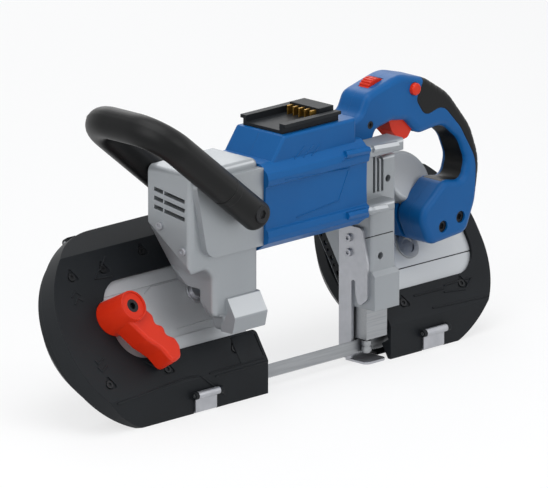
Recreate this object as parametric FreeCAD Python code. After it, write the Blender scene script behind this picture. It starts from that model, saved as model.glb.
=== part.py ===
import FreeCAD, Part
import math
import os
from FreeCAD import Placement, Rotation, Vector

# Cordless portable band saw, in millimetres.
# While it is modelled, x runs along the blade from the idler end to the drive end with 0 midway
# between the wheels, y runs from the user's side to the far side with 0 in the cutting plane,
# and z runs up with 0 at the tips of the teeth. The last lines move it onto the floor.
# The wheels lie in a plane, the deck, that leans away from the user, so the return run of the
# blade passes behind the motor. Deck pieces are drawn flat, as x, up the deck and out of the deck.

# Clearances and cuts
cut_over = 2.0
fit_gap = 0.3
shaft_fit = 0.05

# Blade loop
blade_length = 1140.0
blade_width = 13.0
blade_thickness = 0.6
tooth_pitch = 2.5
tooth_depth = 1.1
tooth_back_share = 0.55
twist_step_count = 8

# Wheels
deck_tilt_deg = 32.0
wheel_radius = 72.5
wheel_width = 16.0
tyre_thickness = 3.0
rim_thickness = 3.1
wheel_web = 3.5
wheel_hub_radius = 17.0
axle_radius = 8.0
axle_head_radius = 12.0
axle_head = 2.0
axle_dish_share = 0.55
wheel_hole_radius = 12.0
wheel_hole_count = 5

# Gear train, from the wheel back to the motor
ring_wall = 1.6
ring_teeth_count = 84
drive_pinion_teeth_count = 12
bevel_module = 1.25
bevel_gear_teeth_count = 28
bevel_pinion_teeth_count = 14
bevel_face = 6.0
spur_module = 1.0
layshaft_teeth_count = 57
rotor_teeth_count = 20
spur_face = 9.0
addendum_share = 0.8
dedendum_share = 1.2
backlash_share = 0.16
pressure_deg = 20.0
gear_hub = 5.0
layshaft_radius = 5.0
layshaft_height = 21.0
pinion_shaft_radius = 6.0
bearing_width = 6.0
bearing_wall = 4.5
bearing_play = 1.2

# Motor
motor_y = 2.0
stator_radius = 23.0
stator_bore = 14.0
stator_length = 46.0
rotor_shaft_radius = 4.0
fan_radius = 20.0
fan_width = 9.0
fan_blade_count = 9
motor_fan_gap = 5.0
motor_bearing_gap = 5.0

# Throat and the castings
throat_width = 120.0
throat_middle_x = 17.0
stop_thickness = 3.0
deck_gap = 3.0
deck_plate = 6.0
casting_wall = 6.0
floor_drop = 8.0

# Front column, as seen from the user's side, standing on its deck plate
front_column_width = 84.0
front_column_height = 156.0
front_column_setback = 23.0
front_column_foot_z = 56.0
front_column_near_y = -25.0
front_column_far_y = 27.0
front_column_round = 5.0
column_room_share = 0.34
front_column_shares = [
    (0.0, 1.0, 0.07), (0.0, 0.41, 0.07), (0.345, 0.43, 0.15), (0.345, 0.14, 0.07), (0.5, 0.13, 0.07),
    (0.56, 0.03, 0.07), (1.0, 0.03, 0.07), (1.0, 1.0, 0.07),
]
column_facet_shares = [(0.05, 0.0, 0.4), (0.54, 1.33, 0.28), (0.0, 0.81, 0.63)]
column_foot_width = 40.0
column_foot_height = 37.0
column_foot_depth = 11.0
column_foot_shares = [(1.6, 1.0, 0.0), (0.9, 1.0, 0.2), (0.0, 0.55, 0.3), (0.3, 0.16, 0.2), (1.6, 0.16, 0.0)]
handle_pad_depth = 6.0
handle_pad_low_z = 134.0
handle_pad_height = 70.0
handle_pad_shares = [(0.19, 0.0, 0.17), (1.0, 0.0, 0.0), (1.0, 1.0, 0.0), (0.02, 1.0, 0.05)]
vent_count = 3
vent_length = 38.0
vent_height = 3.6
vent_pitch = 8.0
vent_rib = 1.6
vent_split_share = 0.167
vent_top_z = 191.0
vent_lean_deg = 8.0

# Rear column and gear case
rear_column_width = 31.0
rear_column_near_y = -20.0
rear_column_far_y = 44.0
rear_column_low_z = 44.0
rear_column_top_z = 182.0
flange_top_share = 0.92
bead_end_shares = [(0.12, 0.24, 0.45), (0.78, 0.92, 0.8)]
bead_reach_share = 1.05
rear_column_round = 4.0
ledge_depth = 4.0
ledge_top_z = 79.0
rear_hole_radius = 3.2
rear_hole_depth = 8.0
rear_hole_shares = [(0.66, 0.85), (0.36, 0.35)]
rib_count = 3
rib_width = 3.0
rib_depth = 5.0
rib_start_share = 0.275
rib_low_share = 0.3
rib_high_share = 0.72
gear_case_wall = 4.0
gear_case_room = 2.0
beam_depth = 18.0
beam_height = 20.0
beam_drop = 2.0
beam_wall = 4.0
beam_gap = 2.5

# Bumpers round the two pods
pod_radius = 88.0
pod_wall = 8.0
pod_low = 97.0
pod_skin = 3.0
pod_low_wall = 21.0
pod_rim_back = 1.0
shoulder_height = 67.0
window_half = 37.0
front_window_reach = 31.0
rear_window_reach = 72.0
window_round = 28.0
pod_corner = 5.0
deck_plate_half = 62.0
deck_plate_reach = 74.0
deck_plate_round = 34.0

# Wheel doors on the far side, hinged along the top
door_radius = 83.0
door_depth = 30.0
door_taper = 17.0
door_rim_depth = 10.5
door_wall = 3.0
door_arm_depth = 15.0
door_arm_low = 91.0
door_arm_high = 83.0
door_arm_inner = 54.0
door_arm_lift = 2.8
front_foot_start = -34.0
rear_foot_start = -57.0
door_foot_length = 36.0
hinge_back = 4.5
hinge_pin_radius = 2.0
hinge_knuckle_radius = 3.6
hinge_knuckle_length = 24.0
hinge_lug_length = 10.0

# Latch clips under the pods
latch_width = 26.0
latch_sheet = 1.6
latch_tongue = 11.0
latch_pin_radius = 1.5
latch_curl_radius = 3.4
latch_top_z = 9.0
latch_lug = 4.0
latch_lift = 0.5
front_latch_offset = 49.0
rear_latch_offset = -6.0

# Tension lever, cam, slide and spring
lever_offset = 27.0
lever_up = 5.0
lever_hub_radius = 15.0
lever_hub_draft = 1.5
lever_hub_height = 35.0
lever_arm_lift = 8.0
lever_arm_height = 22.0
lever_arm_length = 64.0
lever_arm_width = 25.0
lever_arm_deg = -58.3
lever_arm_shares = [
    (0.0, 0.44, 0.0), (0.34, 0.5, 0.08), (0.43, 0.3, 0.06), (0.55, 0.5, 0.08), (0.64, 0.3, 0.06),
    (0.78, 0.48, 0.08), (0.9, 0.38, 0.1), (1.0, 0.05, 0.1), (0.96, -0.42, 0.1), (0.7, -0.34, 0.1),
    (0.45, -0.5, 0.1), (0.0, -0.5, 0.0),
]
lever_round = 3.0
lever_screw_radius = 6.0
lever_screw_depth = 9.0
socket_share = 0.55
cam_shaft_radius = 6.0
cam_radius = 8.0
cam_throw = 3.0
cam_play = 0.9
slide_half = 20.0
slide_reach = 45.0
slide_tail = 86.0
slide_tab = 12.0
slide_tab_sheet = 2.4
guide_bolt_offset = 79.4
guide_bolt_up = 9.0
guide_bolt_radius = 4.0
guide_bolt_head_radius = 7.0
guide_bolt_head = 5.0
guide_washer_radius = 9.5
guide_washer = 1.5
scoop_radius = 13.0
scoop_wall = 17.0
deck_step = 1.0
deck_step_half = 25.0
deck_step_reach = 58.0
deck_step_round = 12.0
spring_radius = 4.2
spring_wire = 0.7
spring_turn_count = 4
spring_seat_length = 4.0

# Blade guides
guide_length = 26.0
guide_half_width = 12.0
guide_side_radius = 4.5
guide_thrust_radius = 5.0
guide_thrust_width = 8.0
guide_pin_radius = 2.0
guide_pin_head_radius = 3.2
guide_pin_head = 1.2
guide_side_low = 2.6
guide_side_height = 10.0
guide_pad_gap = 1.8
guide_room = 1.2
guide_pin_inset = 7.0
guide_groove = 0.6
groove_low_share = 0.44
groove_high_share = 0.56
front_guide_inset = 3.0
rear_guide_inset = 2.0

# Work stop, a sheet plate with a slot for the blade
stop_height = 123.0
stop_width = 35.0
stop_low_z = -5.0
stop_near_y = -17.5
stop_shares = [
    (1.0, 1.0, 0.1), (0.2, 1.0, 0.12), (0.0, 0.74, 0.1), (0.0, 0.48, 0.12), (0.3, 0.41, 0.1),
    (0.42, 0.5, 0.06), (0.42, 0.6, 0.06), (0.56, 0.6, 0.06), (0.56, 0.0, 0.12), (1.0, 0.012, 0.12),
]
stop_screw_share = 0.64
stop_screw_height_shares = [0.91, 0.8]
screw_radius = 2.0
screw_head_radius = 3.6
screw_head = 2.4
screw_length = 8.0
screw_sink = 0.3
pocket_reach = 9.0
pocket_round = 2.0
pocket_depth = 1.2
front_screw_shares = [(0.42, 0.64), (-0.16, 0.557), (-0.59, 0.557), (-0.66, -0.58), (0.14, -0.58),
                      (1.09, -0.557)]
rear_screw_shares = [(0.64, 0.48), (-0.375, -0.557), (0.49, -0.52)]
column_screw_shares = [(0.17, 0.55), (0.71, 0.665)]

# Strip with a row of holes beside the throat
strip_width = 9.0
strip_length = 66.0
strip_thickness = 2.5
strip_hole = 4.4
strip_hole_count = 9
strip_hole_round_share = 0.25
strip_low = -33.0

# Motor housing, drawn across, with beads along its lower and upper edges
housing_wall = 3.6
housing_rear_gap = 17.0
housing_half_depth = 37.0
housing_height = 79.0
housing_shares = [
    (0.0, 0.0, 0.0), (0.66, 0.0, 0.12), (0.92, 0.09, 0.08), (1.03, 0.11, 0.05), (1.06, 0.18, 0.1),
    (1.03, 0.25, 0.05), (0.96, 0.265, 0.04), (0.95, 0.5, 0.6), (0.96, 0.745, 0.04), (1.03, 0.76, 0.05),
    (1.06, 0.83, 0.1), (1.02, 0.9, 0.08), (0.85, 0.97, 0.1), (0.76, 1.0, 0.1), (0.0, 1.0, 0.0),
]
seat_height = 20.0
seat_half_width = 30.0
seat_front_share = 0.23
seat_ramp_share = 0.11
seat_rear_share = 0.94
seat_round = 3.0

# Battery slide on the seat
rail_length_share = 0.78
rail_base = 3.0
rail_height = 9.0
rail_half_width = 24.0
rail_lip = 3.5
rail_lip_height = 3.0
contact_count = 5
contact_thickness = 1.2
contact_length = 14.0
contact_height = 8.0
contact_pitch = 7.0
terminal_length = 18.0
terminal_half_width = 18.0
board_thickness = 2.0
board_half_width = 18.0
board_length = 50.0
board_drop = 8.0

# D-handle, drawn from the user's side
handle_length = 175.0
handle_height = 173.0
handle_start = 30.0
handle_low = 68.0
handle_y = 2.0
handle_half = 17.0
handle_round_share = 0.35
handle_shares = [
    (0.0, 0.682, 0.0), (0.02, 0.745, 0.07), (0.13, 0.8, 0.07), (0.17, 0.885, 0.07),
    (0.42, 0.95, 0.2), (0.6, 0.9, 0.25), (0.77, 0.79, 0.3), (0.93, 0.59, 0.3),
    (1.0, 0.4, 0.3), (0.965, 0.18, 0.2), (0.9, 0.025, 0.07), (0.63, 0.0, 0.07), (0.55, 0.175, 0.09),
    (0.74, 0.33, 0.07), (0.87, 0.305, 0.05), (0.9, 0.41, 0.09), (0.85, 0.53, 0.15),
    (0.73, 0.63, 0.12), (0.55, 0.61, 0.07), (0.46, 0.7, 0.05), (0.36, 0.715, 0.04),
    (0.24, 0.69, 0.04), (0.2, 0.6, 0.0), (0.0, 0.6, 0.0),
]
pad_shares = [
    (0.6, 0.95, 0.0), (0.566, 0.88, 0.03), (0.52, 0.798, 0.04), (0.585, 0.7, 0.06), (0.715, 0.735, 0.08),
    (0.84, 0.6, 0.2), (0.955, 0.41, 0.2), (0.955, 0.22, 0.1), (0.98, 0.16, 0.02), (1.1, 0.2, 0.0),
    (1.1, 0.8, 0.0), (0.7, 1.1, 0.0),
]
pad_skin = 4.0
liner_shares = [
    (0.74, 0.318, 0.0), (0.875, 0.29, 0.07), (0.918, 0.41, 0.09), (0.865, 0.54, 0.15),
    (0.735, 0.647, 0.12), (0.56, 0.628, 0.02), (0.5, 0.56, 0.0), (0.62, 0.42, 0.0),
]
liner_half = 11.0
handle_base_share = 0.2
handle_bolt_shares = [(0.72, 0.09), (0.847, 0.117)]
handle_bolt_radius = 4.0
handle_bolt_head_radius = 5.5
handle_bolt_sink = 6.0
shell_screw_shares = [(0.19, 0.727)]

# Trigger, lock button, speed dial and the switch behind them
trigger_half = 10.0
trigger_travel = 6.0
trigger_pull_deg = 33.0
trigger_shares = [
    (0.42, 0.76, 0.0), (0.36, 0.715, 0.01), (0.385, 0.65, 0.03), (0.445, 0.59, 0.035), (0.5, 0.598, 0.03),
    (0.53, 0.64, 0.02), (0.5, 0.73, 0.0),
]
trigger_room = 0.8
switch_length = 20.0
switch_half = 8.0
switch_shares = (0.62, 0.78)
switch_height = 13.0
button_share = 0.505
button_height_share = 0.86
button_radius = 5.5
button_proud = 4.0
button_flange = 2.0
dial_share = 0.3
dial_height_share = 0.872
dial_radius = 12.0
dial_half = 6.0
dial_rib_count = 24
dial_rib = 0.8
dial_pin_radius = 2.0

# Front loop handle
loop_bar_radius = 12.0
loop_grip_radius = 14.5
loop_end_radius = 14.0
loop_end_round = 5.0
loop_boss_radius = 10.0
loop_rise = 89.0
loop_reach = 111.0
loop_bend = 30.0
loop_foot_x_setback = 30.0
loop_foot_z = 173.0
loop_collar = 34.0
loop_screw_radius = 5.0
loop_screw_head_radius = 7.5
loop_screw_sink = 3.0

# Return guard and skid plate
guard_wall = 2.5
guard_room = 4.0
guard_web = 4.0
guard_web_inset = 20.0
guard_web_height = 16.0
skid_thickness = 2.0
skid_round = 5.0

# Places that follow from the sizes above
tilt = math.radians(deck_tilt_deg)
loop_radius = wheel_radius + fit_gap + blade_thickness / 2
wheel_spacing = (blade_length - 2 * math.pi * loop_radius) / 2
front_x = -wheel_spacing / 2
rear_x = wheel_spacing / 2
wheel_y = loop_radius * math.sin(tilt)
wheel_z = blade_width / 2 + loop_radius * math.cos(tilt)
deck_place = Placement(Vector(0, wheel_y, wheel_z), Rotation(Vector(1, 0, 0), 90 - deck_tilt_deg))
wheel_face = wheel_width / 2
plate_back = wheel_face + deck_gap
plate_front = plate_back + deck_plate
pod_face = plate_front + pod_skin
front_end_x = throat_middle_x - throat_width / 2
stop_x = throat_middle_x + throat_width / 2
rear_face_x = stop_x + stop_thickness
front_face_x = front_end_x - front_column_setback
front_column_x = front_face_x - front_column_width
floor_z = -floor_drop

ring_bore = wheel_radius - tyre_thickness - rim_thickness
ring_root = ring_bore - ring_wall
ring_module = ring_root / (ring_teeth_count / 2 + dedendum_share)
gear_up = ring_module * (ring_teeth_count - drive_pinion_teeth_count) / 2
layshaft_out = plate_front + layshaft_height
layshaft_y = wheel_y + gear_up * math.sin(tilt) - layshaft_out * math.cos(tilt)
layshaft_z = wheel_z + gear_up * math.cos(tilt) + layshaft_out * math.sin(tilt)
spur_distance = spur_module * (layshaft_teeth_count + rotor_teeth_count) / 2
motor_z = layshaft_z + math.sqrt(spur_distance ** 2 - (layshaft_y - motor_y) ** 2)
layshaft_radius_out = spur_module * (layshaft_teeth_count / 2 + addendum_share)
bevel_gear_radius = bevel_module * bevel_gear_teeth_count / 2
bevel_pinion_radius = bevel_module * bevel_pinion_teeth_count / 2

housing_low_z = motor_z - stator_radius - housing_wall
housing_top_z = housing_low_z + housing_height
housing_end_x = stop_x - housing_rear_gap
housing_length = housing_end_x - front_face_x
seat_z = housing_top_z + seat_height
handle_x = rear_face_x - handle_start
handle_low_z = motor_z - handle_low


# Helpers for outlines, boxes and rods

PLANES = {
    "xy": (lambda u, v: Vector(u, v, 0), Vector(0, 0, 1)),
    "xz": (lambda u, v: Vector(u, 0, v), Vector(0, 1, 0)),
    "yz": (lambda u, v: Vector(0, u, v), Vector(1, 0, 0)),
}


def outline_face(corners, plane):
    """Face bounded by corner points (u, v, radius), each corner rounded by a tangent arc."""
    to_space = PLANES[plane][0]
    points = [to_space(u, v) for u, v, radius in corners]
    edges = []
    ends = []
    for index, (u, v, radius) in enumerate(corners):
        here = points[index]
        back = points[index - 1] - here
        ahead = points[(index + 1) % len(points)] - here
        back.normalize()
        ahead.normalize()
        half = back.getAngle(ahead) / 2
        if radius == 0 or math.cos(half) < math.sin(math.radians(1)):
            ends.append((here, here))
            continue
        reach = radius / math.tan(half)
        middle = back + ahead
        middle.normalize()
        start = here + back * reach
        end = here + ahead * reach
        edges.append(Part.Arc(start, here + middle * (radius / math.sin(half) - radius), end).toShape())
        ends.append((start, end))
    for index, (start, end) in enumerate(ends):
        following = ends[(index + 1) % len(ends)][0]
        if end.distanceToPoint(following) > fit_gap / 100:
            edges.append(Part.LineSegment(end, following).toShape())
    return Part.Face(Part.Wire(Part.__sortEdges__(edges)))


def prism(corners, plane, low, high):
    """Outline extruded along its plane's normal from low to high."""
    normal = PLANES[plane][1]
    face = outline_face(corners, plane)
    face.translate(normal * low)
    return face.extrude(normal * (high - low))


def from_shares(table, u_start, u_size, v_start, v_size):
    """Corner points from a table of shares of a piece's width and height."""
    return [(u_start + u * u_size, v_start + v * v_size, abs(r * u_size)) for u, v, r in table]


def span_box(x_span, y_span, z_span):
    """Box between pairs of coordinates, given in either order."""
    low = Vector(min(x_span), min(y_span), min(z_span))
    high = Vector(max(x_span), max(y_span), max(z_span))
    size = high - low
    return Part.makeBox(size.x, size.y, size.z, low)


def rod(radius, start, end):
    """Cylinder from one point to another."""
    return Part.makeCylinder(radius, (end - start).Length, start, end - start)


def tube(outer, inner, start, end):
    """Hollow cylinder from one point to another."""
    return rod(outer, start, end).cut(rod(inner, start, end))


def on_deck(shape):
    """Piece drawn flat on the deck, moved to the leaning deck."""
    placed = shape.copy()
    placed.Placement = deck_place.multiply(placed.Placement)
    return placed


def deck_point(x, up, out):
    """Point given on the deck, in the saw's own axes."""
    return deck_place.multVec(Vector(x, up, out))


def deck_rod(radius, x, up, out_low, out_high):
    """Cylinder square to the deck."""
    return rod(radius, deck_point(x, up, out_low), deck_point(x, up, out_high))


def below_floor():
    """Everything under the floor, for cutting the feet flat."""
    reach = blade_length
    return span_box((-reach, reach), (-reach, reach), (floor_z - reach, floor_z))


def behind_deck(out):
    """Everything on the far side of a plane of the deck."""
    reach = blade_length
    return on_deck(span_box((-reach, reach), (-reach, reach), (out - reach, out)))


def fillet_edges(solid, radius, chosen):
    """Rounds the edges that the test picks out."""
    return solid.makeFillet(radius, [edge for edge in solid.Edges if chosen(edge)])


def along_axis(edge, axis):
    """Whether an edge is straight and runs along an axis."""
    if edge.Curve.TypeId != "Part::GeomLine":
        return False
    return abs(edge.Curve.Direction.dot(axis)) > math.cos(math.radians(1))


def socket_screw(head_radius, head_height, shank_radius, shank_length, seat, outward):
    """Socket head screw: seat is the point under its head, outward the way its head faces."""
    top = seat + outward * head_height
    screw = rod(head_radius, seat, top).fuse(rod(shank_radius, seat - outward * shank_length, seat))
    socket_reach = head_radius * socket_share
    turn = Rotation(Vector(0, 0, 1), outward)
    corners = [(socket_reach * math.cos(math.radians(60 * i)),
                socket_reach * math.sin(math.radians(60 * i)), 0)
               for i in range(6)]
    socket = prism(corners, "xy", -head_height * socket_share, cut_over)
    socket.Placement = Placement(top, turn)
    return screw.cut(socket)


def screw_room(head_radius, head_height, shank_radius, shank_length, seat, outward):
    """Hole that a socket head screw sits in, open above its head."""
    head = rod(head_radius, seat, seat + outward * (head_height + cut_over))
    return head.fuse(rod(shank_radius, seat - outward * shank_length, seat))


# Gear outlines

def gear_outline(teeth, module, side):
    """Corner points of a spur gear, side 1 for outer teeth and -1 for the teeth of a ring."""
    pitch_radius = teeth * module / 2
    tip = pitch_radius + side * addendum_share * module
    root = pitch_radius - side * dedendum_share * module
    half_tooth = math.pi * module / 4 * (1 - backlash_share)
    lean = math.tan(math.radians(pressure_deg))
    half_tip = half_tooth - addendum_share * module * lean
    half_root = half_tooth + dedendum_share * module * lean
    points = []
    for index in range(teeth):
        middle = 2 * math.pi * index / teeth
        for radius, half in ((root, -half_root), (tip, -half_tip), (tip, half_tip), (root, half_root)):
            angle = middle + half / radius
            points.append((radius * math.cos(angle), radius * math.sin(angle), 0))
    return points


def spur_gear(teeth, module, low, high):
    """Spur gear about z with a tooth on the x axis."""
    return prism(gear_outline(teeth, module, 1), "xy", low, high)


def bevel_gear(teeth, mate_teeth):
    """Bevel gear about z with its apex at the origin and a tooth on the x axis, below the apex."""
    cone = math.atan2(teeth, mate_teeth)
    pitch_radius = teeth * bevel_module / 2
    reach = pitch_radius / math.sin(cone)
    lean = math.tan(math.radians(pressure_deg))
    half_tooth = math.pi * bevel_module / 4 * (1 - backlash_share)
    along = Vector(math.sin(cone), 0, -math.cos(cone))
    outward = Vector(math.cos(cone), 0, math.sin(cone))
    inner_share = 1 - bevel_face / reach

    def section(share):
        add = addendum_share * bevel_module
        sink = dedendum_share * bevel_module * share
        half_tip = (half_tooth - add * lean) * share
        half_root = (half_tooth + dedendum_share * bevel_module * lean) * share
        tip = (along * reach + outward * add) * share
        root = along * (reach * share) - outward * (sink * 2)
        side = Vector(0, 1, 0)
        points = [tip - side * half_tip, tip + side * half_tip, root + side * half_root,
                  root - side * half_root]
        return Part.makePolygon(points + points[:1])

    tooth = Part.makeLoft([section(inner_share), section(1)], True, True)
    root_out = along * reach - outward * (dedendum_share * bevel_module)
    root_in = root_out * inner_share
    back_z = root_out.z - gear_hub
    profile = [(0, root_in.z, 0), (root_in.x, root_in.z, 0), (root_out.x, root_out.z, 0),
               (root_out.x, back_z, 0), (0, back_z, 0)]
    body = outline_face(profile, "xz").revolve(Vector(0, 0, 0), Vector(0, 0, 1), 360)
    teeth_all = []
    for index in range(teeth):
        copy = tooth.copy()
        copy.rotate(Vector(0, 0, 0), Vector(0, 0, 1), 360 * index / teeth)
        teeth_all.append(copy)
    return body.fuse(teeth_all)


# Blade: two arcs on the wheels, a flat return run and a cutting run that twists upright

def blade_section(x, share):
    """Cross section of the cutting run, share 0 flat on the wheel and 1 upright in the throat."""
    turn = (90 - deck_tilt_deg) * (1 - share)
    centre = Vector(x, 0, blade_width / 2)
    half_width = blade_width / 2
    half_sheet = blade_thickness / 2
    points = [Vector(0, -half_sheet, -half_width), Vector(0, half_sheet, -half_width),
              Vector(0, half_sheet, half_width), Vector(0, -half_sheet, half_width)]
    spin = Rotation(Vector(1, 0, 0), turn)
    points = [spin.multVec(point) + centre for point in points]
    return Part.makePolygon(points + points[:1])


def blade_twist(flat_x, upright_x):
    """Stretch of blade that turns from the wheel's plane to upright."""
    sections = []
    for index in range(twist_step_count + 1):
        share = index / twist_step_count
        sections.append(blade_section(flat_x + (upright_x - flat_x) * share, share))
    return Part.makeLoft(sections, True, True)


def blade_throat(low_x, high_x):
    """Upright stretch in the throat, with its teeth along the lower edge."""
    teeth = int((high_x - low_x) / tooth_pitch)
    pitch = (high_x - low_x) / teeth
    points = [(high_x, blade_width, 0), (low_x, blade_width, 0)]
    for index in range(teeth):
        points.append((low_x + pitch * index, 0, 0))
        points.append((low_x + pitch * (index + tooth_back_share), tooth_depth, 0))
    points.append((high_x, 0, 0))
    return prism(points, "xz", -blade_thickness / 2, blade_thickness / 2)


def blade_arc(centre_x, way):
    """Half turn of the blade round a wheel, way -1 at the front and 1 at the rear."""
    inner = wheel_radius + fit_gap
    ring = Part.makeCylinder(inner + blade_thickness, blade_width, Vector(0, 0, -blade_width / 2))
    ring = ring.cut(Part.makeCylinder(inner, blade_width, Vector(0, 0, -blade_width / 2)))
    reach = inner + blade_thickness
    half = span_box((0, way * reach), (-reach, reach), (-blade_width, blade_width))
    arc = ring.common(half)
    arc.translate(Vector(centre_x, 0, 0))
    return on_deck(arc)


def make_blade():
    inner = wheel_radius + fit_gap
    low_x = front_end_x - front_guide_inset - guide_length
    high_x = rear_face_x + rear_guide_inset + guide_length
    back = on_deck(span_box((front_x, rear_x), (inner, inner + blade_thickness),
                            (-blade_width / 2, blade_width / 2)))
    pieces = [blade_arc(rear_x, 1), back, blade_twist(front_x, low_x), blade_throat(low_x, high_x),
              blade_twist(rear_x, high_x)]
    return blade_arc(front_x, -1).fuse(pieces)


# Wheels, axles and gears

def ring_profile(points, centre_x):
    """Ring turned about a wheel's axis from (radius, out) points."""
    face = outline_face([(r, out, 0) for r, out in points], "xz")
    ring = face.revolve(Vector(0, 0, 0), Vector(0, 0, 1), 360)
    ring.translate(Vector(centre_x, 0, 0))
    return on_deck(ring)


def make_tyre(centre_x):
    crown = tyre_thickness / 6
    inner = wheel_radius - tyre_thickness
    points = [(inner, -wheel_face), (wheel_radius - crown, -wheel_face), (wheel_radius, -wheel_face / 2),
              (wheel_radius, wheel_face / 2), (wheel_radius - crown, wheel_face), (inner, wheel_face)]
    return ring_profile(points, centre_x)


def make_wheel(centre_x):
    rim = wheel_radius - tyre_thickness
    bore = axle_radius + shaft_fit
    web = -wheel_face + wheel_web
    points = [(bore, -wheel_face), (rim, -wheel_face), (rim, wheel_face), (ring_bore, wheel_face),
              (ring_bore, web), (wheel_hub_radius, web), (wheel_hub_radius, wheel_face), (bore, wheel_face)]
    wheel = ring_profile(points, centre_x)
    hole_ring = (wheel_hub_radius + ring_bore) / 2
    for index in range(wheel_hole_count):
        angle = 2 * math.pi * index / wheel_hole_count
        x = centre_x + hole_ring * math.cos(angle)
        wheel = wheel.cut(deck_rod(wheel_hole_radius, x, hole_ring * math.sin(angle), -wheel_width, web))
    return wheel


def make_ring_gear():
    low = -wheel_face + wheel_web
    ring = Part.makeCylinder(ring_bore, wheel_face - low, Vector(0, 0, low))
    teeth = prism(gear_outline(ring_teeth_count, ring_module, -1), "xy", low - cut_over,
                  wheel_face + cut_over)
    ring = ring.cut(teeth)
    ring.translate(Vector(rear_x, 0, 0))
    return on_deck(ring)


def make_drive_axle():
    axle = deck_rod(axle_radius, rear_x, 0, -wheel_face - axle_head, plate_front)
    head = deck_rod(axle_head_radius, rear_x, 0, plate_front, plate_front + axle_head)
    keeper = deck_rod(axle_head_radius, rear_x, 0, -wheel_face - axle_head - fit_gap, -wheel_face - fit_gap)
    groove = deck_rod(axle_head_radius * axle_dish_share, rear_x, 0, plate_front + axle_head / 2,
                      plate_front + axle_head)
    collar = deck_rod(axle_head_radius, rear_x, 0, wheel_face + fit_gap, plate_back)
    return axle.fuse([head, keeper, collar]).cut(groove)


def bevel_low():
    """How far the back of the bevel gear lies below the layshaft."""
    cone = math.atan2(bevel_gear_teeth_count, bevel_pinion_teeth_count)
    return bevel_pinion_radius + dedendum_share * bevel_module * math.sin(cone) + gear_hub


def make_bevel_gear():
    gear = bevel_gear(bevel_gear_teeth_count, bevel_pinion_teeth_count)
    bore = Part.makeCylinder(pinion_shaft_radius, 2 * layshaft_height, Vector(0, 0, -2 * layshaft_height))
    gear = gear.cut(bore)
    gear.translate(Vector(rear_x, gear_up, layshaft_out))
    return on_deck(gear)


def make_drive_pinion():
    low = -wheel_face + wheel_web + fit_gap * 2
    pinion = spur_gear(drive_pinion_teeth_count, ring_module, low, wheel_face)
    pinion.rotate(Vector(0, 0, 0), Vector(0, 0, 1), 90 + 180 / drive_pinion_teeth_count)
    top = layshaft_out - bevel_low() + gear_hub
    shaft = Part.makeCylinder(pinion_shaft_radius, top - low, Vector(0, 0, low))
    pinion = pinion.fuse(shaft)
    pinion.translate(Vector(rear_x, gear_up, 0))
    return on_deck(pinion)


def spur_x():
    """Start of the first gear pair along x."""
    return rear_face_x + casting_wall + bearing_width + fit_gap


def make_layshaft():
    aim = math.degrees(math.atan2(motor_z - layshaft_z, motor_y - layshaft_y))
    gear = spur_gear(layshaft_teeth_count, spur_module, spur_x(), spur_x() + spur_face)
    gear.rotate(Vector(0, 0, 0), Vector(0, 0, 1), aim)
    gear.Placement = Placement(Vector(0, layshaft_y, layshaft_z), along_x()).multiply(gear.Placement)
    bevel = bevel_gear(bevel_pinion_teeth_count, bevel_gear_teeth_count)
    bevel.rotate(Vector(0, 0, 0), Vector(0, 0, 1), 180 / bevel_pinion_teeth_count)
    bevel.rotate(Vector(0, 0, 0), Vector(0, 1, 0), 90)
    bevel.translate(Vector(rear_x, gear_up, layshaft_out))
    bevel = on_deck(bevel)
    shaft = layshaft_rod(layshaft_radius, rear_face_x + casting_wall, rear_x - bevel_gear_radius - fit_gap)
    return shaft.fuse([gear, bevel])


def along_x():
    """Turn that takes z to x and x to y, for gears drawn about z."""
    return Rotation(Vector(0, 1, 0), Vector(0, 0, 1), Vector(1, 0, 0), "ZXY")


def layshaft_rod(radius, low_x, high_x):
    return rod(radius, Vector(low_x, layshaft_y, layshaft_z), Vector(high_x, layshaft_y, layshaft_z))


def motor_rod(radius, low_x, high_x):
    return rod(radius, Vector(low_x, motor_y, motor_z), Vector(high_x, motor_y, motor_z))


# Motor, laid out backwards from the first gear pair

def motor_places():
    """Ends along x of the rear bearing, stator, fan and front bearing."""
    rear_bearing = housing_end_x - bearing_width
    stator_end = rear_bearing - motor_bearing_gap - motor_fan_gap
    stator_start = stator_end - stator_length
    fan_end = stator_start - motor_fan_gap
    front_bearing = fan_end - fan_width - motor_bearing_gap
    return rear_bearing, stator_end, stator_start, fan_end, front_bearing


def make_rotor_shaft():
    rear_bearing, stator_end, stator_start, fan_end, front_bearing = motor_places()
    aim = math.degrees(math.atan2(layshaft_z - motor_z, layshaft_y - motor_y))
    pinion = spur_gear(rotor_teeth_count, spur_module, spur_x(), spur_x() + spur_face)
    pinion.rotate(Vector(0, 0, 0), Vector(0, 0, 1), aim + 180 / rotor_teeth_count)
    pinion.Placement = Placement(Vector(0, motor_y, motor_z), along_x()).multiply(pinion.Placement)
    return motor_rod(rotor_shaft_radius, front_bearing - bearing_width, spur_x() + spur_face).fuse(pinion)


def make_rotor_core():
    rear_bearing, stator_end, stator_start, fan_end, front_bearing = motor_places()
    core = motor_rod(stator_bore - 2 * fit_gap, stator_start, stator_end)
    return core.cut(motor_rod(rotor_shaft_radius, stator_start, stator_end))


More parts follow.
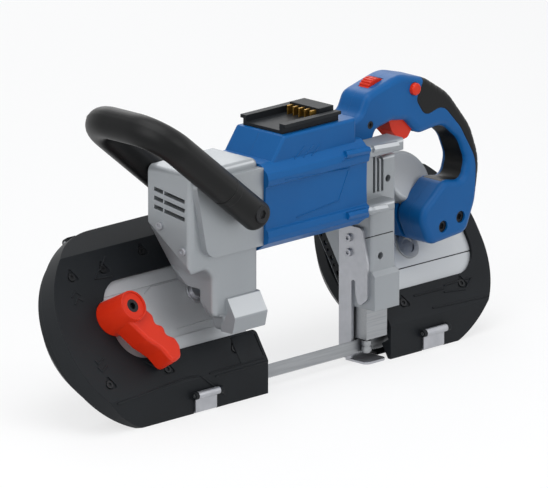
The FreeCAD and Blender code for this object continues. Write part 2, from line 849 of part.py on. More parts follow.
def make_fan():
    rear_bearing, stator_end, stator_start, fan_end, front_bearing = motor_places()
    hub_radius = fan_radius / 2
    start = fan_end - fan_width
    disc = motor_rod(fan_radius, start, start + fan_width / 4)
    hub = motor_rod(hub_radius, start, fan_end)
    blades = []
    for index in range(fan_blade_count):
        blade = span_box((start, fan_end), (motor_y + hub_radius / 2, motor_y + fan_radius - fit_gap),
                         (motor_z - fit_gap * 3, motor_z + fit_gap * 3))
        blade.rotate(Vector(0, motor_y, motor_z), Vector(1, 0, 0), 360 * index / fan_blade_count)
        blades.append(blade)
    return disc.fuse([hub] + blades).cut(motor_rod(rotor_shaft_radius, start, fan_end))


def make_stator():
    rear_bearing, stator_end, stator_start, fan_end, front_bearing = motor_places()
    ring = motor_rod(stator_radius, stator_start, stator_end)
    ring = ring.cut(motor_rod(stator_bore, stator_start, stator_end))
    slots = []
    for index in range(6):
        slot = motor_rod(stator_bore / 4, stator_start, stator_end)
        slot.translate(Vector(0, stator_bore + stator_bore / 6, 0))
        slot.rotate(Vector(0, motor_y, motor_z), Vector(1, 0, 0), 60 * index)
        slots.append(slot)
    return ring.cut(slots[0].fuse(slots[1:]))


def bearing(shaft_radius, start, end):
    return tube(shaft_radius + bearing_wall, shaft_radius + shaft_fit, start, end)


def bearing_ends():
    """Shaft radius and the two end points of every shaft bearing."""
    rear_bearing, stator_end, stator_start, fan_end, front_bearing = motor_places()
    motor = Vector(0, motor_y, motor_z)
    lay = Vector(0, layshaft_y, layshaft_z)
    step = Vector(bearing_width, 0, 0)
    ends = []
    for shaft_radius, centre, start in (
            (rotor_shaft_radius, motor, rear_bearing),
            (rotor_shaft_radius, motor, front_bearing - bearing_width),
            (layshaft_radius, lay, rear_face_x + casting_wall),
            (layshaft_radius, lay, rear_x - bevel_gear_radius - gear_hub - bearing_width - bearing_play)):
        low = centre + Vector(start, 0, 0)
        ends.append((shaft_radius, low, low + step))
    ends.append((pinion_shaft_radius, deck_point(rear_x, gear_up, plate_front - bearing_width),
                 deck_point(rear_x, gear_up, plate_front)))
    return ends


def make_bearings():
    return Part.makeCompound([bearing(radius, start, end) for radius, start, end in bearing_ends()])


# Castings

def deck_plate_corners(centre_x, way, face_x, arm_x):
    """Outline of a deck plate: way points to the outer end, arm_x is the throat end of its low arm."""
    reach = centre_x + way * deck_plate_reach
    return [(arm_x, -deck_plate_half, pod_corner), (reach, -deck_plate_half, deck_plate_round),
            (reach, deck_plate_half, deck_plate_round), (face_x, deck_plate_half, 0),
            (face_x, -window_half, 0), (arm_x, -window_half, 0)]


def make_front_casting():
    plate_corners = deck_plate_corners(front_x, -1, front_face_x, front_end_x - front_guide_inset)
    plate = on_deck(prism(plate_corners, "xy", plate_back, plate_front))
    column_corners = from_shares(front_column_shares, front_column_x, front_column_width,
                                 front_column_foot_z, front_column_height)
    column = prism(column_corners, "xz", front_column_near_y, front_column_far_y)
    column = fillet_edges(column, front_column_round,
                          lambda edge: edge.CenterOfMass.y < front_column_near_y + fit_gap)
    foot_corners = [(front_column_near_y - column_foot_depth + u * column_foot_depth,
                     front_column_foot_z + v * column_foot_height, r * column_foot_depth)
                    for u, v, r in column_foot_shares]
    foot = prism(foot_corners, "yz", front_face_x - column_foot_width, front_face_x)
    pad_corners = from_shares(handle_pad_shares, front_column_x, front_column_width,
                              handle_pad_low_z, handle_pad_height)
    pad = prism(pad_corners, "xz", front_column_near_y - handle_pad_depth, front_column_near_y + casting_wall)
    arm = span_box((front_face_x - column_foot_width, front_face_x),
                   (front_column_far_y, beam_y() + beam_depth),
                   (beam_z(), beam_z() + beam_height))
    column = column.cut(column_facet()).cut(bolt_scoop())
    casting = column.fuse([foot, pad, arm]).cut(behind_deck(plate_back)).fuse(plate)
    casting = casting.cut(front_column_room()).cut(front_vents())
    return casting.removeSplitter()


def bolt_scoop():
    """Rounded notch behind the near wall of the column that leaves room round the guide bolt."""
    right = guide_bolt_x + scoop_radius
    top = deck_point(guide_bolt_x, guide_bolt_up, plate_front + guide_bolt_head).z + scoop_radius
    corners = [(front_column_x - cut_over, 0, 0), (right, 0, 0), (right, top, scoop_radius),
               (front_column_x - cut_over, top, 0)]
    return prism(corners, "xz", front_column_near_y + scoop_wall, front_column_far_y + cut_over)


def column_facet():
    """Everything below the slanting facet low on the outer side of the column."""
    depth = front_column_far_y - front_column_near_y
    low, back, high = [Vector(front_column_x + u * front_column_width, front_column_near_y + w * depth,
                              front_column_foot_z + v * front_column_height)
                       for u, w, v in column_facet_shares]
    normal = (back - low).cross(high - low)
    reach = blade_length
    block = span_box((-reach, reach), (-reach, reach), (-reach, 0))
    block.Placement = Placement(low, Rotation(Vector(0, 0, 1), normal))
    return block


def deck_sink():
    """Shallow sunk panel in the front deck plate, under the lever."""
    start = front_x - deck_step_reach
    corners = [(start, -deck_step_half, deck_step_round),
               (front_face_x - fit_gap, -deck_step_half, deck_step_round),
               (front_face_x - fit_gap, deck_step_half, deck_step_round),
               (start, deck_step_half, deck_step_round)]
    return on_deck(prism(corners, "xy", plate_front - deck_step, plate_front))


def front_column_room():
    """Hollow of the front column."""
    top = front_column_foot_z + front_column_height
    return span_box((front_column_x + casting_wall, front_face_x - casting_wall),
                    (front_column_near_y + casting_wall, front_column_far_y - casting_wall),
                    (top - column_room_share * front_column_height, top - casting_wall))


def front_vents():
    """Slots through the front wall of the front column, each in two lengths."""
    slots = []
    middle_y = (front_column_near_y + front_column_far_y) / 2
    for index in range(vent_count):
        low = vent_top_z - vent_pitch * index - vent_height
        split = vent_split_share * vent_length
        for start, end in ((-vent_length / 2, split), (split + vent_rib, vent_length / 2)):
            slot = span_box((front_column_x - cut_over, front_column_x + casting_wall + cut_over),
                            (middle_y + start, middle_y + end), (low, low + vent_height))
            slot.rotate(Vector(0, middle_y, low), Vector(1, 0, 0), vent_lean_deg)
            slots.append(slot)
    return slots[0].fuse(slots[1:])


def beam_y():
    """Near face of the beam behind the motor housing."""
    return motor_y + housing_half_depth + beam_gap


def beam_z():
    """Underside of the beam."""
    return motor_z - beam_height - beam_drop


def make_bridge_beam():
    outer = span_box((front_face_x, rear_face_x), (beam_y(), beam_y() + beam_depth),
                     (beam_z(), beam_z() + beam_height))
    outer = fillet_edges(outer, beam_wall, lambda edge: along_axis(edge, Vector(1, 0, 0)))
    room = span_box((front_face_x - cut_over, rear_face_x + cut_over),
                    (beam_y() + beam_wall, beam_y() + beam_depth - beam_wall),
                    (beam_z() + beam_wall, beam_z() + beam_height - beam_wall))
    return outer.cut(room)


def gear_case():
    """Case round the gears: a drum for the first pair, a boss over the wheel and the neck between."""
    drum_radius = layshaft_radius_out + gear_case_room + gear_case_wall
    drum = layshaft_rod(drum_radius, rear_face_x, spur_x() + spur_face + gear_case_room + gear_case_wall)
    boss_radius = bevel_gear_radius + gear_case_room * 2 + gear_case_wall
    boss_top = layshaft_out + bevel_pinion_radius + gear_case_room + gear_case_wall
    boss = deck_rod(boss_radius, rear_x, gear_up, plate_back, boss_top)
    boss = boss.makeFillet(gear_case_wall, [boss.Edges[0]])
    neck_radius = layshaft_radius + bearing_wall + gear_case_wall
    neck = layshaft_rod(neck_radius, rear_face_x, rear_x)
    return drum.fuse([boss, neck])


def gear_rooms():
    """Hollows that the gears, shafts and bearings sit in."""
    first = layshaft_rod(layshaft_radius_out + gear_case_room, spur_x() - fit_gap,
                         spur_x() + spur_face + gear_case_room)
    rotor_room = motor_rod(spur_module * rotor_teeth_count / 2 + gear_case_room, housing_end_x - cut_over,
                           spur_x() + spur_face + gear_case_room)
    boss_room = deck_rod(bevel_gear_radius + gear_case_room, rear_x, gear_up, plate_front,
                         layshaft_out + bevel_pinion_radius + gear_case_room)
    bevel_room = layshaft_rod(bevel_pinion_radius + gear_case_room + bearing_play,
                              rear_x - bevel_gear_radius - gear_hub - bearing_play,
                              rear_x)
    shaft_room = layshaft_rod(layshaft_radius + fit_gap, rear_face_x + casting_wall, rear_x)
    pinion_room = deck_rod(pinion_shaft_radius + fit_gap, rear_x, gear_up, plate_back - cut_over, plate_front)
    rooms = [rotor_room, boss_room, bevel_room, shaft_room, pinion_room]
    for radius, start, end in bearing_ends():
        rooms.append(rod(radius + bearing_wall, start, end))
    return first.fuse(rooms)


def make_rear_casting():
    plate = on_deck(prism(deck_plate_corners(rear_x, 1, rear_face_x, rear_face_x + rear_column_width), "xy",
                          plate_back, plate_front))
    column = span_box((rear_face_x, rear_face_x + rear_column_width), (rear_column_near_y, rear_column_far_y),
                      (rear_column_low_z, rear_column_top_z))
    column = fillet_edges(column, rear_column_round,
                          lambda edge: edge.CenterOfMass.y < rear_column_near_y + fit_gap)
    ledge = prism([(rear_column_near_y - ledge_depth, rear_column_low_z, 0),
                   (0, rear_column_low_z, 0), (0, ledge_top_z, 0), (rear_column_near_y, ledge_top_z, 0),
                   (rear_column_near_y - ledge_depth, ledge_top_z - ledge_depth, 0)], "yz",
                  rear_face_x, rear_face_x + rear_column_width)
    arm = span_box((rear_face_x, rear_face_x + rear_column_width), (rear_column_far_y, beam_y() + beam_depth),
                   (beam_z(), beam_z() + beam_height))
    flange = span_box((housing_end_x, rear_face_x + casting_wall), (rear_column_near_y, beam_y()),
                      (housing_low_z + casting_wall, housing_low_z + flange_top_share * housing_height))
    casting = column.fuse([ledge, arm, flange, gear_case()]).cut(behind_deck(plate_back))
    casting = casting.fuse([plate] + housing_bead_ends())
    casting = casting.cut(gear_rooms()).cut(rear_column_marks())
    casting = casting.cut(deck_rod(axle_radius, rear_x, 0, plate_back - cut_over, plate_front + cut_over))
    return casting.removeSplitter()


def housing_bead_ends():
    """Cast ends that carry the housing's two beads past the housing."""
    ends = []
    near = motor_y - bead_reach_share * housing_half_depth
    for low_share, high_share, length_share in bead_end_shares:
        low = housing_low_z + low_share * housing_height
        high = housing_low_z + high_share * housing_height
        bead = span_box((housing_end_x, rear_face_x + rear_column_width * length_share),
                        (near, rear_column_near_y + casting_wall), (low, high))
        ends.append(fillet_edges(bead, rear_column_round, lambda edge: edge.CenterOfMass.y < near + fit_gap))
    return ends


def rear_column_marks():
    """Screw holes and vertical grooves in the near face of the rear column."""
    height = rear_column_top_z - rear_column_low_z
    cuts = []
    for u, v in rear_hole_shares:
        start = Vector(rear_face_x + u * rear_column_width, rear_column_near_y - cut_over,
                       rear_column_low_z + v * height)
        cuts.append(rod(rear_hole_radius, start, start + Vector(0, rear_hole_depth + cut_over, 0)))
    pitch = rear_column_width / 2 / rib_count
    for index in range(rib_count):
        x = rear_face_x + pitch * (index + rib_start_share)
        cuts.append(span_box((x, x + rib_width),
                             (rear_column_near_y - cut_over, rear_column_near_y + rib_depth),
                             (housing_low_z + rib_low_share * housing_height,
                              housing_low_z + rib_high_share * housing_height)))
    return cuts[0].fuse(cuts[1:])


# Bumpers, doors, hinges and latches

def bumper_corners(centre_x, way, low_x, high_x, window_reach):
    """Outline of a bumper: a C round the window, open to the throat."""
    outer = centre_x + way * pod_radius
    window = centre_x + way * window_reach
    return [(low_x, -pod_low, pod_corner), (outer, -pod_low, pod_radius), (outer, pod_radius, pod_radius),
            (high_x, pod_radius, 0), (high_x, window_half, pod_corner), (window, window_half, window_round),
            (window, -window_half, window_round), (low_x, -window_half, pod_corner)]


def pod_shoulders():
    """Wedges that slope the bumper away above and below its flat face."""
    reach = pod_radius
    drop = reach * math.tan(tilt)
    wedges = []
    for side in (1, -1):
        corners = [(side * shoulder_height, pod_face, 0),
                   (side * (shoulder_height + reach), pod_face - drop, 0),
                   (side * (shoulder_height + reach), pod_face + reach, 0),
                   (side * shoulder_height, pod_face + reach, 0)]
        wedges.append(prism(corners, "yz", -blade_length, blade_length))
    return wedges[0].fuse(wedges[1])


def pod_room(centre_x, way, low_x, high_x):
    """Space behind the deck plate for the wheel and the blade."""
    reach = pod_radius - pod_wall
    low = pod_low - pod_low_wall
    end = centre_x + way * reach
    low_end = low_x - way * cut_over
    high_end = high_x - way * cut_over
    corners = [(low_end, -low, 0), (end, -low, low - fit_gap), (end, reach, reach), (high_end, reach, 0),
               (high_end, -window_half, 0), (low_end, -window_half + cut_over, 0)]
    return prism(corners, "xy", pod_rim_back - cut_over, plate_back)


def make_bumper(centre_x, way, low_x, high_x, window_reach, casting, screws, clear):
    block = prism(bumper_corners(centre_x, way, low_x, high_x, window_reach), "xy", pod_rim_back, pod_face)
    block = block.cut(pod_shoulders()).cut(pod_room(centre_x, way, low_x, high_x))
    bumper = on_deck(block).cut(below_floor()).cut(casting)
    bumper = bumper.fuse(door_lugs(centre_x) + latch_lugs(latch_x(way)))
    cuts = [rod(hinge_pin_radius, *hinge_ends(centre_x)),
            latch_rod(latch_pin_radius, latch_x(way), latch_lug),
            latch_recess(latch_x(way))]
    cuts += [screw_room(screw_head_radius + fit_gap, screw_head, screw_radius, screw_length, seat, deck_out())
             for seat in screws]
    cuts += [screw_pocket(seat) for seat in screws]
    bumper = bumper.cut(cuts[0].fuse(cuts[1:]))
    for piece in clear:
        bumper = bumper.cut(piece)
    return max(bumper.removeSplitter().Solids, key=lambda solid: solid.Volume)


def deck_out():
    """Unit vector square to the deck, towards the user."""
    return deck_place.Rotation.multVec(Vector(0, 0, 1))


def screw_seats(centre_x, table):
    """Points under the heads of a bumper's screws."""
    out = pod_face - screw_head - screw_sink
    return [deck_point(centre_x + u * pod_radius, v * pod_radius, out) for u, v in table]


def screw_pocket(seat):
    """Shallow three cornered pocket round a bumper screw."""
    corners = []
    for angle in (90, 210, 330):
        corners.append((pocket_reach * math.cos(math.radians(angle)),
                        pocket_reach * math.sin(math.radians(angle)),
                        pocket_round))
    pocket = prism(corners, "xy", screw_head + screw_sink - pocket_depth, screw_head + screw_sink + cut_over)
    pocket.Placement = Placement(seat, deck_place.Rotation)
    return pocket


def hinge_up():
    return pod_radius - hinge_knuckle_radius - fit_gap


def hinge_ends(centre_x):
    """Ends of a door's hinge pin."""
    half = hinge_knuckle_length / 2 + fit_gap + hinge_lug_length
    start = deck_point(centre_x - half, hinge_up(), -hinge_back)
    end = deck_point(centre_x + half, hinge_up(), -hinge_back)
    return start, end


def lug_block(x_low, x_high, radius, foot):
    """Hinge ear: round about the pin, square down to the bumper's rim."""
    ear = rod(radius, Vector(x_low, hinge_up(), -hinge_back), Vector(x_high, hinge_up(), -hinge_back))
    stem = span_box((x_low, x_high), (hinge_up() - radius, hinge_up() + radius), (-hinge_back, foot))
    return on_deck(ear.fuse(stem))


def door_lugs(centre_x, room=0.0):
    """Two hinge ears on a bumper, or with room the space that they need in the door."""
    lugs = []
    for side in (-1, 1):
        near = centre_x + side * (hinge_knuckle_length / 2 + fit_gap - room)
        far = centre_x + side * (hinge_knuckle_length / 2 + fit_gap + hinge_lug_length + room)
        lugs.append(lug_block(min(near, far), max(near, far), hinge_knuckle_radius + 3 * room,
                              pod_rim_back + 3 * room))
    return lugs


def door_shell(radius, depth, arm_depth, low, high, inner, centre_x, arm_x, top):
    """Dished cover over a wheel with two arms that cover the blade."""
    dish = Part.makeCone(radius - door_taper, radius, depth - door_rim_depth, Vector(centre_x, 0, -depth))
    rim = Part.makeCylinder(radius, top + door_rim_depth, Vector(centre_x, 0, -door_rim_depth))
    low_arm = span_box((centre_x, arm_x), (-low, -inner), (-arm_depth, top))
    high_arm = span_box((centre_x, arm_x), (inner, high), (-arm_depth, top))
    return dish.fuse([rim, low_arm, high_arm])


def make_door(centre_x, way, arm_x, foot_start):
    top = pod_rim_back - fit_gap
    outer = door_shell(door_radius, door_depth, door_arm_depth, door_arm_low, door_arm_high, door_arm_inner,
                       centre_x, arm_x, top)
    room = door_shell(door_radius - door_wall, door_depth - door_wall, door_arm_depth - door_wall,
                      door_arm_low - door_wall, door_arm_high - door_wall, door_arm_inner + door_wall,
                      centre_x, arm_x - way * cut_over, top + cut_over)
    foot_x = centre_x + way * foot_start
    foot = span_box((foot_x, foot_x + way * door_foot_length), (-pod_low, -door_arm_inner / 2),
                    (-door_depth, 0))
    knuckle = rod(hinge_knuckle_radius, Vector(centre_x - hinge_knuckle_length / 2, hinge_up(), -hinge_back),
                  Vector(centre_x + hinge_knuckle_length / 2, hinge_up(), -hinge_back))
    web = span_box((centre_x - hinge_knuckle_length / 2, centre_x + hinge_knuckle_length / 2),
                   (door_radius - door_taper / 2, hinge_up()), (-hinge_back - hinge_pin_radius, -hinge_back))
    door = on_deck(outer.fuse([foot]).cut(room).fuse([web, knuckle]))
    arm_floor = span_box((-blade_length, blade_length), (-blade_length, blade_length),
                         (floor_z - blade_length, floor_z + door_arm_lift))
    feet = span_box((foot_x, foot_x + way * door_foot_length), (-blade_length, blade_length),
                    (floor_z, floor_z + door_arm_lift))
    door = door.cut(arm_floor.cut(feet))
    cuts = door_lugs(centre_x, fit_gap) + [rod(hinge_pin_radius + shaft_fit, *hinge_ends(centre_x))]
    for cut in cuts:
        door = door.cut(cut)
    return max(door.removeSplitter().Solids, key=lambda solid: solid.Volume)


def facet_y():
    """Upright facet low on the pods, on the user's side."""
    return deck_point(0, -shoulder_height, pod_face).y


def latch_x(way):
    return front_x + front_latch_offset if way < 0 else rear_x + rear_latch_offset


def latch_rod(radius, x, extra):
    """Rod on a latch's pivot, longer than the latch by extra at both ends."""
    y = facet_y() - fit_gap - latch_curl_radius
    half = latch_width / 2 + extra
    return rod(radius, Vector(x - half, y, latch_top_z), Vector(x + half, y, latch_top_z))


def latch_lugs(x):
    """Two ears on the facet that hold a latch's pin."""
    lugs = []
    y = facet_y() - fit_gap - latch_curl_radius
    for side in (-1, 1):
        inner = x + side * (latch_width / 2 + fit_gap)
        outer = x + side * (latch_width / 2 + latch_lug)
        ear = rod(latch_curl_radius, Vector(inner, y, latch_top_z), Vector(outer, y, latch_top_z))
        stem = span_box((inner, outer), (y, facet_y() + cut_over / 2),
                        (latch_top_z - latch_curl_radius, latch_top_z + latch_curl_radius))
        lugs.append(ear.fuse(stem))
    return lugs


def latch_recess(x):
    """Room under a pod for a latch's tongue."""
    half = latch_width / 2 + fit_gap * 2
    top = floor_z + latch_lift + latch_sheet + fit_gap
    return span_box((x - half, x + half), (facet_y() - latch_width, facet_y() + latch_tongue + cut_over),
                    (floor_z - cut_over, top))


def make_latch(x):
    """Sheet clip: a curl round its pin, a flap down the facet and a tongue under the door."""
    inner = facet_y() - fit_gap
    low = floor_z + latch_lift
    corners = [(inner, latch_top_z, 0), (inner - latch_sheet, latch_top_z, 0),
               (inner - latch_sheet, low, latch_sheet),
               (facet_y() + latch_tongue, low, 0), (facet_y() + latch_tongue, low + latch_sheet, 0),
               (inner, low + latch_sheet, 0)]
    sheet = prism(corners, "yz", x - latch_width / 2, x + latch_width / 2)
    curl = latch_rod(latch_curl_radius, x, 0)
    return curl.fuse(sheet).cut(latch_rod(latch_pin_radius + shaft_fit, x, cut_over)).removeSplitter()


def make_hinge_pins():
    pins = [rod(hinge_pin_radius, *hinge_ends(front_x)), rod(hinge_pin_radius, *hinge_ends(rear_x))]
    pins += [latch_rod(latch_pin_radius, latch_x(-1), latch_lug),
             latch_rod(latch_pin_radius, latch_x(1), latch_lug)]
    return Part.makeCompound(pins)


# Tension lever, cam, slide and spring

lever_x = front_x - lever_offset
guide_bolt_x = front_x + guide_bolt_offset


def make_lever():
    base = plate_front + fit_gap
    hub = Part.makeCone(lever_hub_radius + lever_hub_draft, lever_hub_radius - lever_hub_draft,
                        lever_hub_height,
                        Vector(0, 0, base))
    arm_corners = from_shares(lever_arm_shares, 0, lever_arm_length, 0, lever_arm_width)
    arm = prism(arm_corners, "xy", base + lever_arm_lift, base + lever_arm_lift + lever_arm_height)
    arm_top = base + lever_arm_lift + lever_arm_height
    arm = fillet_edges(arm, lever_round, lambda edge: edge.CenterOfMass.z > arm_top - fit_gap)
    arm.rotate(Vector(0, 0, 0), Vector(0, 0, 1), lever_arm_deg)
    lever = hub.fuse(arm)
    lever.translate(Vector(lever_x, lever_up, 0))
    lever = on_deck(lever)
    top = base + lever_hub_height
    room = screw_room(lever_screw_radius, lever_screw_depth, screw_radius, screw_length,
                      lever_screw_seat(), deck_out())
    dish = deck_rod(lever_hub_radius - lever_hub_draft * 2, lever_x, lever_up, top - lever_hub_draft,
                    top + cut_over)
    return lever.cut(room.fuse([dish, cam_rod(cam_shaft_radius)]))


def lever_screw_seat():
    return deck_point(lever_x, lever_up, plate_front + fit_gap + lever_hub_height - lever_screw_depth)


def make_lever_screw():
    return socket_screw(lever_screw_radius, lever_screw_depth - lever_hub_draft, screw_radius, screw_length,
                        lever_screw_seat(), deck_out())


def cam_rod(radius):
    """Shaft of the cam, up into the lever's hub."""
    return deck_rod(radius, lever_x, lever_up, plate_back - fit_gap, plate_front + lever_arm_lift)


def make_cam():
    disc = deck_rod(cam_radius, lever_x - cam_throw, lever_up, wheel_face + 2 * fit_gap, plate_back - fit_gap)
    return cam_rod(cam_shaft_radius).fuse(disc)


def make_slide():
    low = wheel_face + fit_gap
    high = plate_back - fit_gap
    tail = front_x + slide_tail
    plate = span_box((front_x - slide_reach, tail), (-slide_half, slide_half), (low, high))
    tab = span_box((tail - slide_tab_sheet, tail), (-slide_half / 2, slide_half / 2), (low - slide_tab, high))
    axle = Part.makeCylinder(axle_radius, low + wheel_face + axle_head,
                             Vector(front_x, 0, -wheel_face - axle_head))
    keeper = Part.makeCylinder(axle_head_radius, axle_head,
                               Vector(front_x, 0, -wheel_face - axle_head - fit_gap))
    slide = plate.fuse([tab, axle, keeper])
    reach = cam_radius + cam_play
    cam_slot = span_box((lever_x - cam_throw - reach, lever_x - cam_throw + reach),
                        (lever_up - reach - cam_throw, lever_up + reach + cam_throw),
                        (low - cut_over, high + cut_over))
    bolt = guide_bolt_radius + fit_gap
    bolt_slot = span_box((guide_bolt_x - 2 * cam_throw - bolt, guide_bolt_x + bolt),
                         (guide_bolt_up - bolt, guide_bolt_up + bolt), (low - cut_over, high + cut_over))
    return on_deck(slide.cut(cam_slot.fuse(bolt_slot)))


def spring_out():
    """Height of the tension spring's axis over the deck."""
    return wheel_face + fit_gap - slide_tab / 2


def make_spring():
    """Compression spring along x, each half turn an arc through three points of its helix."""
    start = front_x + slide_tail + spring_wire + fit_gap
    end = front_face_x - spring_seat_length - spring_wire - fit_gap
    rise = (end - start) / spring_turn_count

    def point(turn):
        angle = 2 * math.pi * turn
        return Vector(start + rise * turn, spring_radius * math.cos(angle),
                      spring_out() + spring_radius * math.sin(angle))

    edges = []
    for half in range(2 * spring_turn_count):
        edges.append(Part.Arc(point(half / 2), point((half + 1 / 2) / 2), point((half + 1) / 2)).toShape())
    wire = Part.Wire(edges)
    circle = Part.Wire(Part.makeCircle(spring_wire, point(0), edges[0].tangentAt(edges[0].FirstParameter)))
    return on_deck(wire.makePipeShell([circle], True, False))


def spring_seat():
    """Block on the back of the front deck plate that the spring pushes against."""
    half = slide_half / 2
    return on_deck(span_box((front_face_x - spring_seat_length, front_face_x), (-half, half),
                            (wheel_face + fit_gap - slide_tab, plate_back)))


# Blade guides

def guide_block(low_x, side_x, thrust_x, top_z):
    """Block over the blade with two upright roller pins and one level one."""
    low = blade_width + guide_pad_gap
    block = span_box((low_x, low_x + guide_length), (-guide_half_width, guide_half_width), (low, top_z))
    thrust = thrust_point(thrust_x)
    block = block.cut(thrust_room(thrust_x))
    pins = [rod(guide_pin_radius, thrust - Vector(0, guide_half_width, 0),
                thrust + Vector(0, guide_half_width, 0))]
    for side in (-1, 1):
        base = Vector(side_x, side * side_roller_y(), guide_side_low - fit_gap)
        foot = base - Vector(0, 0, guide_pin_head)
        pins.append(rod(guide_pin_radius, foot, Vector(base.x, base.y, low + guide_pad_gap)))
        pins.append(rod(guide_pin_head_radius, foot, base))
    return block.fuse(pins).removeSplitter()


def thrust_room(x):
    """Space that a thrust roller needs in its block."""
    centre = thrust_point(x)
    half = guide_thrust_width / 2 + fit_gap
    reach = guide_thrust_radius + guide_room
    return span_box((x - reach, x + reach), (-half, half), (centre.z - reach, centre.z + reach))


def side_roller_y():
    return blade_thickness / 2 + fit_gap + guide_side_radius


def thrust_point(x):
    return Vector(x, 0, blade_width + fit_gap + guide_thrust_radius)


def side_roller(x, side):
    """Roller beside the blade, with a groove round its middle."""
    base = Vector(x, side * side_roller_y(), guide_side_low)
    top = base + Vector(0, 0, guide_side_height)
    roller = tube(guide_side_radius, guide_pin_radius + shaft_fit, base, top)
    middle = base + Vector(0, 0, guide_side_height * groove_low_share)
    high = base + Vector(0, 0, guide_side_height * groove_high_share)
    return roller.cut(tube(guide_side_radius + cut_over, guide_side_radius - guide_groove, middle, high))


def thrust_roller(x):
    """Roller over the back of the blade."""
    centre = thrust_point(x)
    half = Vector(0, guide_thrust_width / 2, 0)
    return tube(guide_thrust_radius, guide_pin_radius + shaft_fit, centre - half, centre + half)


front_guide_x = front_end_x - front_guide_inset - guide_length
rear_guide_x = rear_face_x + rear_guide_inset
front_side_x = front_guide_x + guide_length - guide_pin_inset
front_thrust_x = front_guide_x + guide_pin_inset
rear_side_x = rear_guide_x + guide_pin_inset
rear_thrust_x = rear_guide_x + guide_length - guide_pin_inset


def make_front_guide():
    block = guide_block(front_guide_x, front_side_x, front_thrust_x, front_column_foot_z)
    ahead = on_deck(span_box((-blade_length, blade_length), (-blade_length, blade_length),
                             (plate_back, blade_length)))
    return max(block.cut(ahead).Solids, key=lambda solid: solid.Volume)


def make_rear_guide():
    return guide_block(rear_guide_x, rear_side_x, rear_thrust_x, rear_column_low_z)


def lever_clear():
    """Room in the front bumper round the lever's hub."""
    return deck_rod(lever_hub_radius + lever_hub_draft + fit_gap, lever_x, lever_up, pod_rim_back,
                    pod_face + cut_over)


def guide_clear():
    """Room for the front guide inside the front bumper."""
    half = guide_half_width - guide_room
    return span_box((front_guide_x - fit_gap, front_end_x - front_guide_inset), (-half, half),
                    (guide_side_low - guide_pin_head - 2 * fit_gap, rear_column_low_z))


def make_skid():
    """Bent sheet under the rear guide: a foot near the floor and an upright screwed to the guide."""
    far = guide_half_width + skid_thickness
    foot = prism([(rear_guide_x, -guide_half_width, skid_round),
                  (rear_guide_x + guide_length, -guide_half_width, skid_round),
                  (rear_guide_x + guide_length, far, 0), (rear_guide_x, far, 0)], "xy",
                 floor_z, floor_z + skid_thickness)
    upright = span_box((rear_guide_x, rear_guide_x + guide_length), (guide_half_width, far),
                       (floor_z, rear_column_low_z - skid_round))
    return foot.fuse(upright).removeSplitter()


# Work stop, strip and screws

def make_stop():
    corners = from_shares(stop_shares, stop_near_y, stop_width, stop_low_z, stop_height)
    plate = prism(corners, "yz", stop_x, rear_face_x)
    return plate.cut(stop_screw_rooms())


def stop_screw_points():
    y = stop_near_y + stop_screw_share * stop_width
    return [Vector(stop_x, y, stop_low_z + share * stop_height) for share in stop_screw_height_shares]


def stop_screw_rooms():
    rooms = [screw_room(screw_head_radius, screw_head, screw_radius, screw_length, point, Vector(-1, 0, 0))
             for point in stop_screw_points()]
    return rooms[0].fuse(rooms[1:])


def strip_block(depth):
    """Strip beside the throat, in the throat face of the rear casting, made to a depth."""
    return span_box((rear_face_x, rear_face_x + depth), (strip_low, strip_low + strip_length),
                    (plate_back + fit_gap, plate_back + fit_gap + strip_width))


def strip_holes(depth):
    """Row of holes in the strip, squares and rounded triangles by turns."""
    pitch = strip_length / strip_hole_count
    middle = plate_back + fit_gap + strip_width / 2
    half = strip_hole / 2
    holes = []
    for index in range(strip_hole_count):
        up = strip_low + pitch * (index + 1 / 2)
        corner = strip_hole * strip_hole_round_share
        corners = [(up - half, middle - half, corner), (up + half, middle - half, corner),
                   (up + half, middle + half, corner)]
        if index % 2:
            corners.append((up - half, middle + half, corner))
        holes.append(prism(corners, "yz", rear_face_x - cut_over, rear_face_x + depth))
    return holes[0].fuse(holes[1:])


def make_strip():
    return on_deck(strip_block(strip_thickness).cut(strip_holes(strip_thickness + cut_over)))


def strip_pocket():
    return on_deck(strip_block(strip_thickness).fuse(strip_holes(strip_thickness * 3)))


def column_screw_points():
    """Seats of the screws on the outer face of the front column."""
    depth = front_column_far_y - front_column_near_y
    return [Vector(front_column_x, front_column_near_y + u * depth,
                   front_column_foot_z + v * front_column_height)
            for u, v in column_screw_shares]


def make_casting_screws():
    screws = [socket_screw(screw_head_radius, screw_head, screw_radius, screw_length, point, Vector(-1, 0, 0))
              for point in stop_screw_points() + column_screw_points()]
    seat = deck_point(guide_bolt_x, guide_bolt_up, plate_front)
    bolt = socket_screw(guide_bolt_head_radius, guide_bolt_head, guide_bolt_radius,
                        deck_plate + deck_gap - 2 * fit_gap,
                        seat, deck_out())
    washer = deck_rod(guide_washer_radius, guide_bolt_x, guide_bolt_up, plate_front,
                      plate_front + guide_washer)
    screws.append(bolt.fuse(washer))
    return Part.makeCompound(screws)


def casting_screw_rooms():
    """Holes for the column screws and the guide bolt in the front casting."""
    rooms = [rod(screw_radius, point, point + Vector(screw_length, 0, 0)) for point in column_screw_points()]
    rooms.append(deck_rod(guide_bolt_radius, guide_bolt_x, guide_bolt_up, plate_back - cut_over, plate_front))
    rooms.append(deck_rod(cam_shaft_radius + shaft_fit, lever_x, lever_up, plate_back - cut_over,
                          plate_front + cut_over))
    return rooms[0].fuse(rooms[1:])


def bumper_screw(seat):
    return socket_screw(screw_head_radius, screw_head, screw_radius, screw_length, seat, deck_out())


# Motor housing, battery slide and electronics

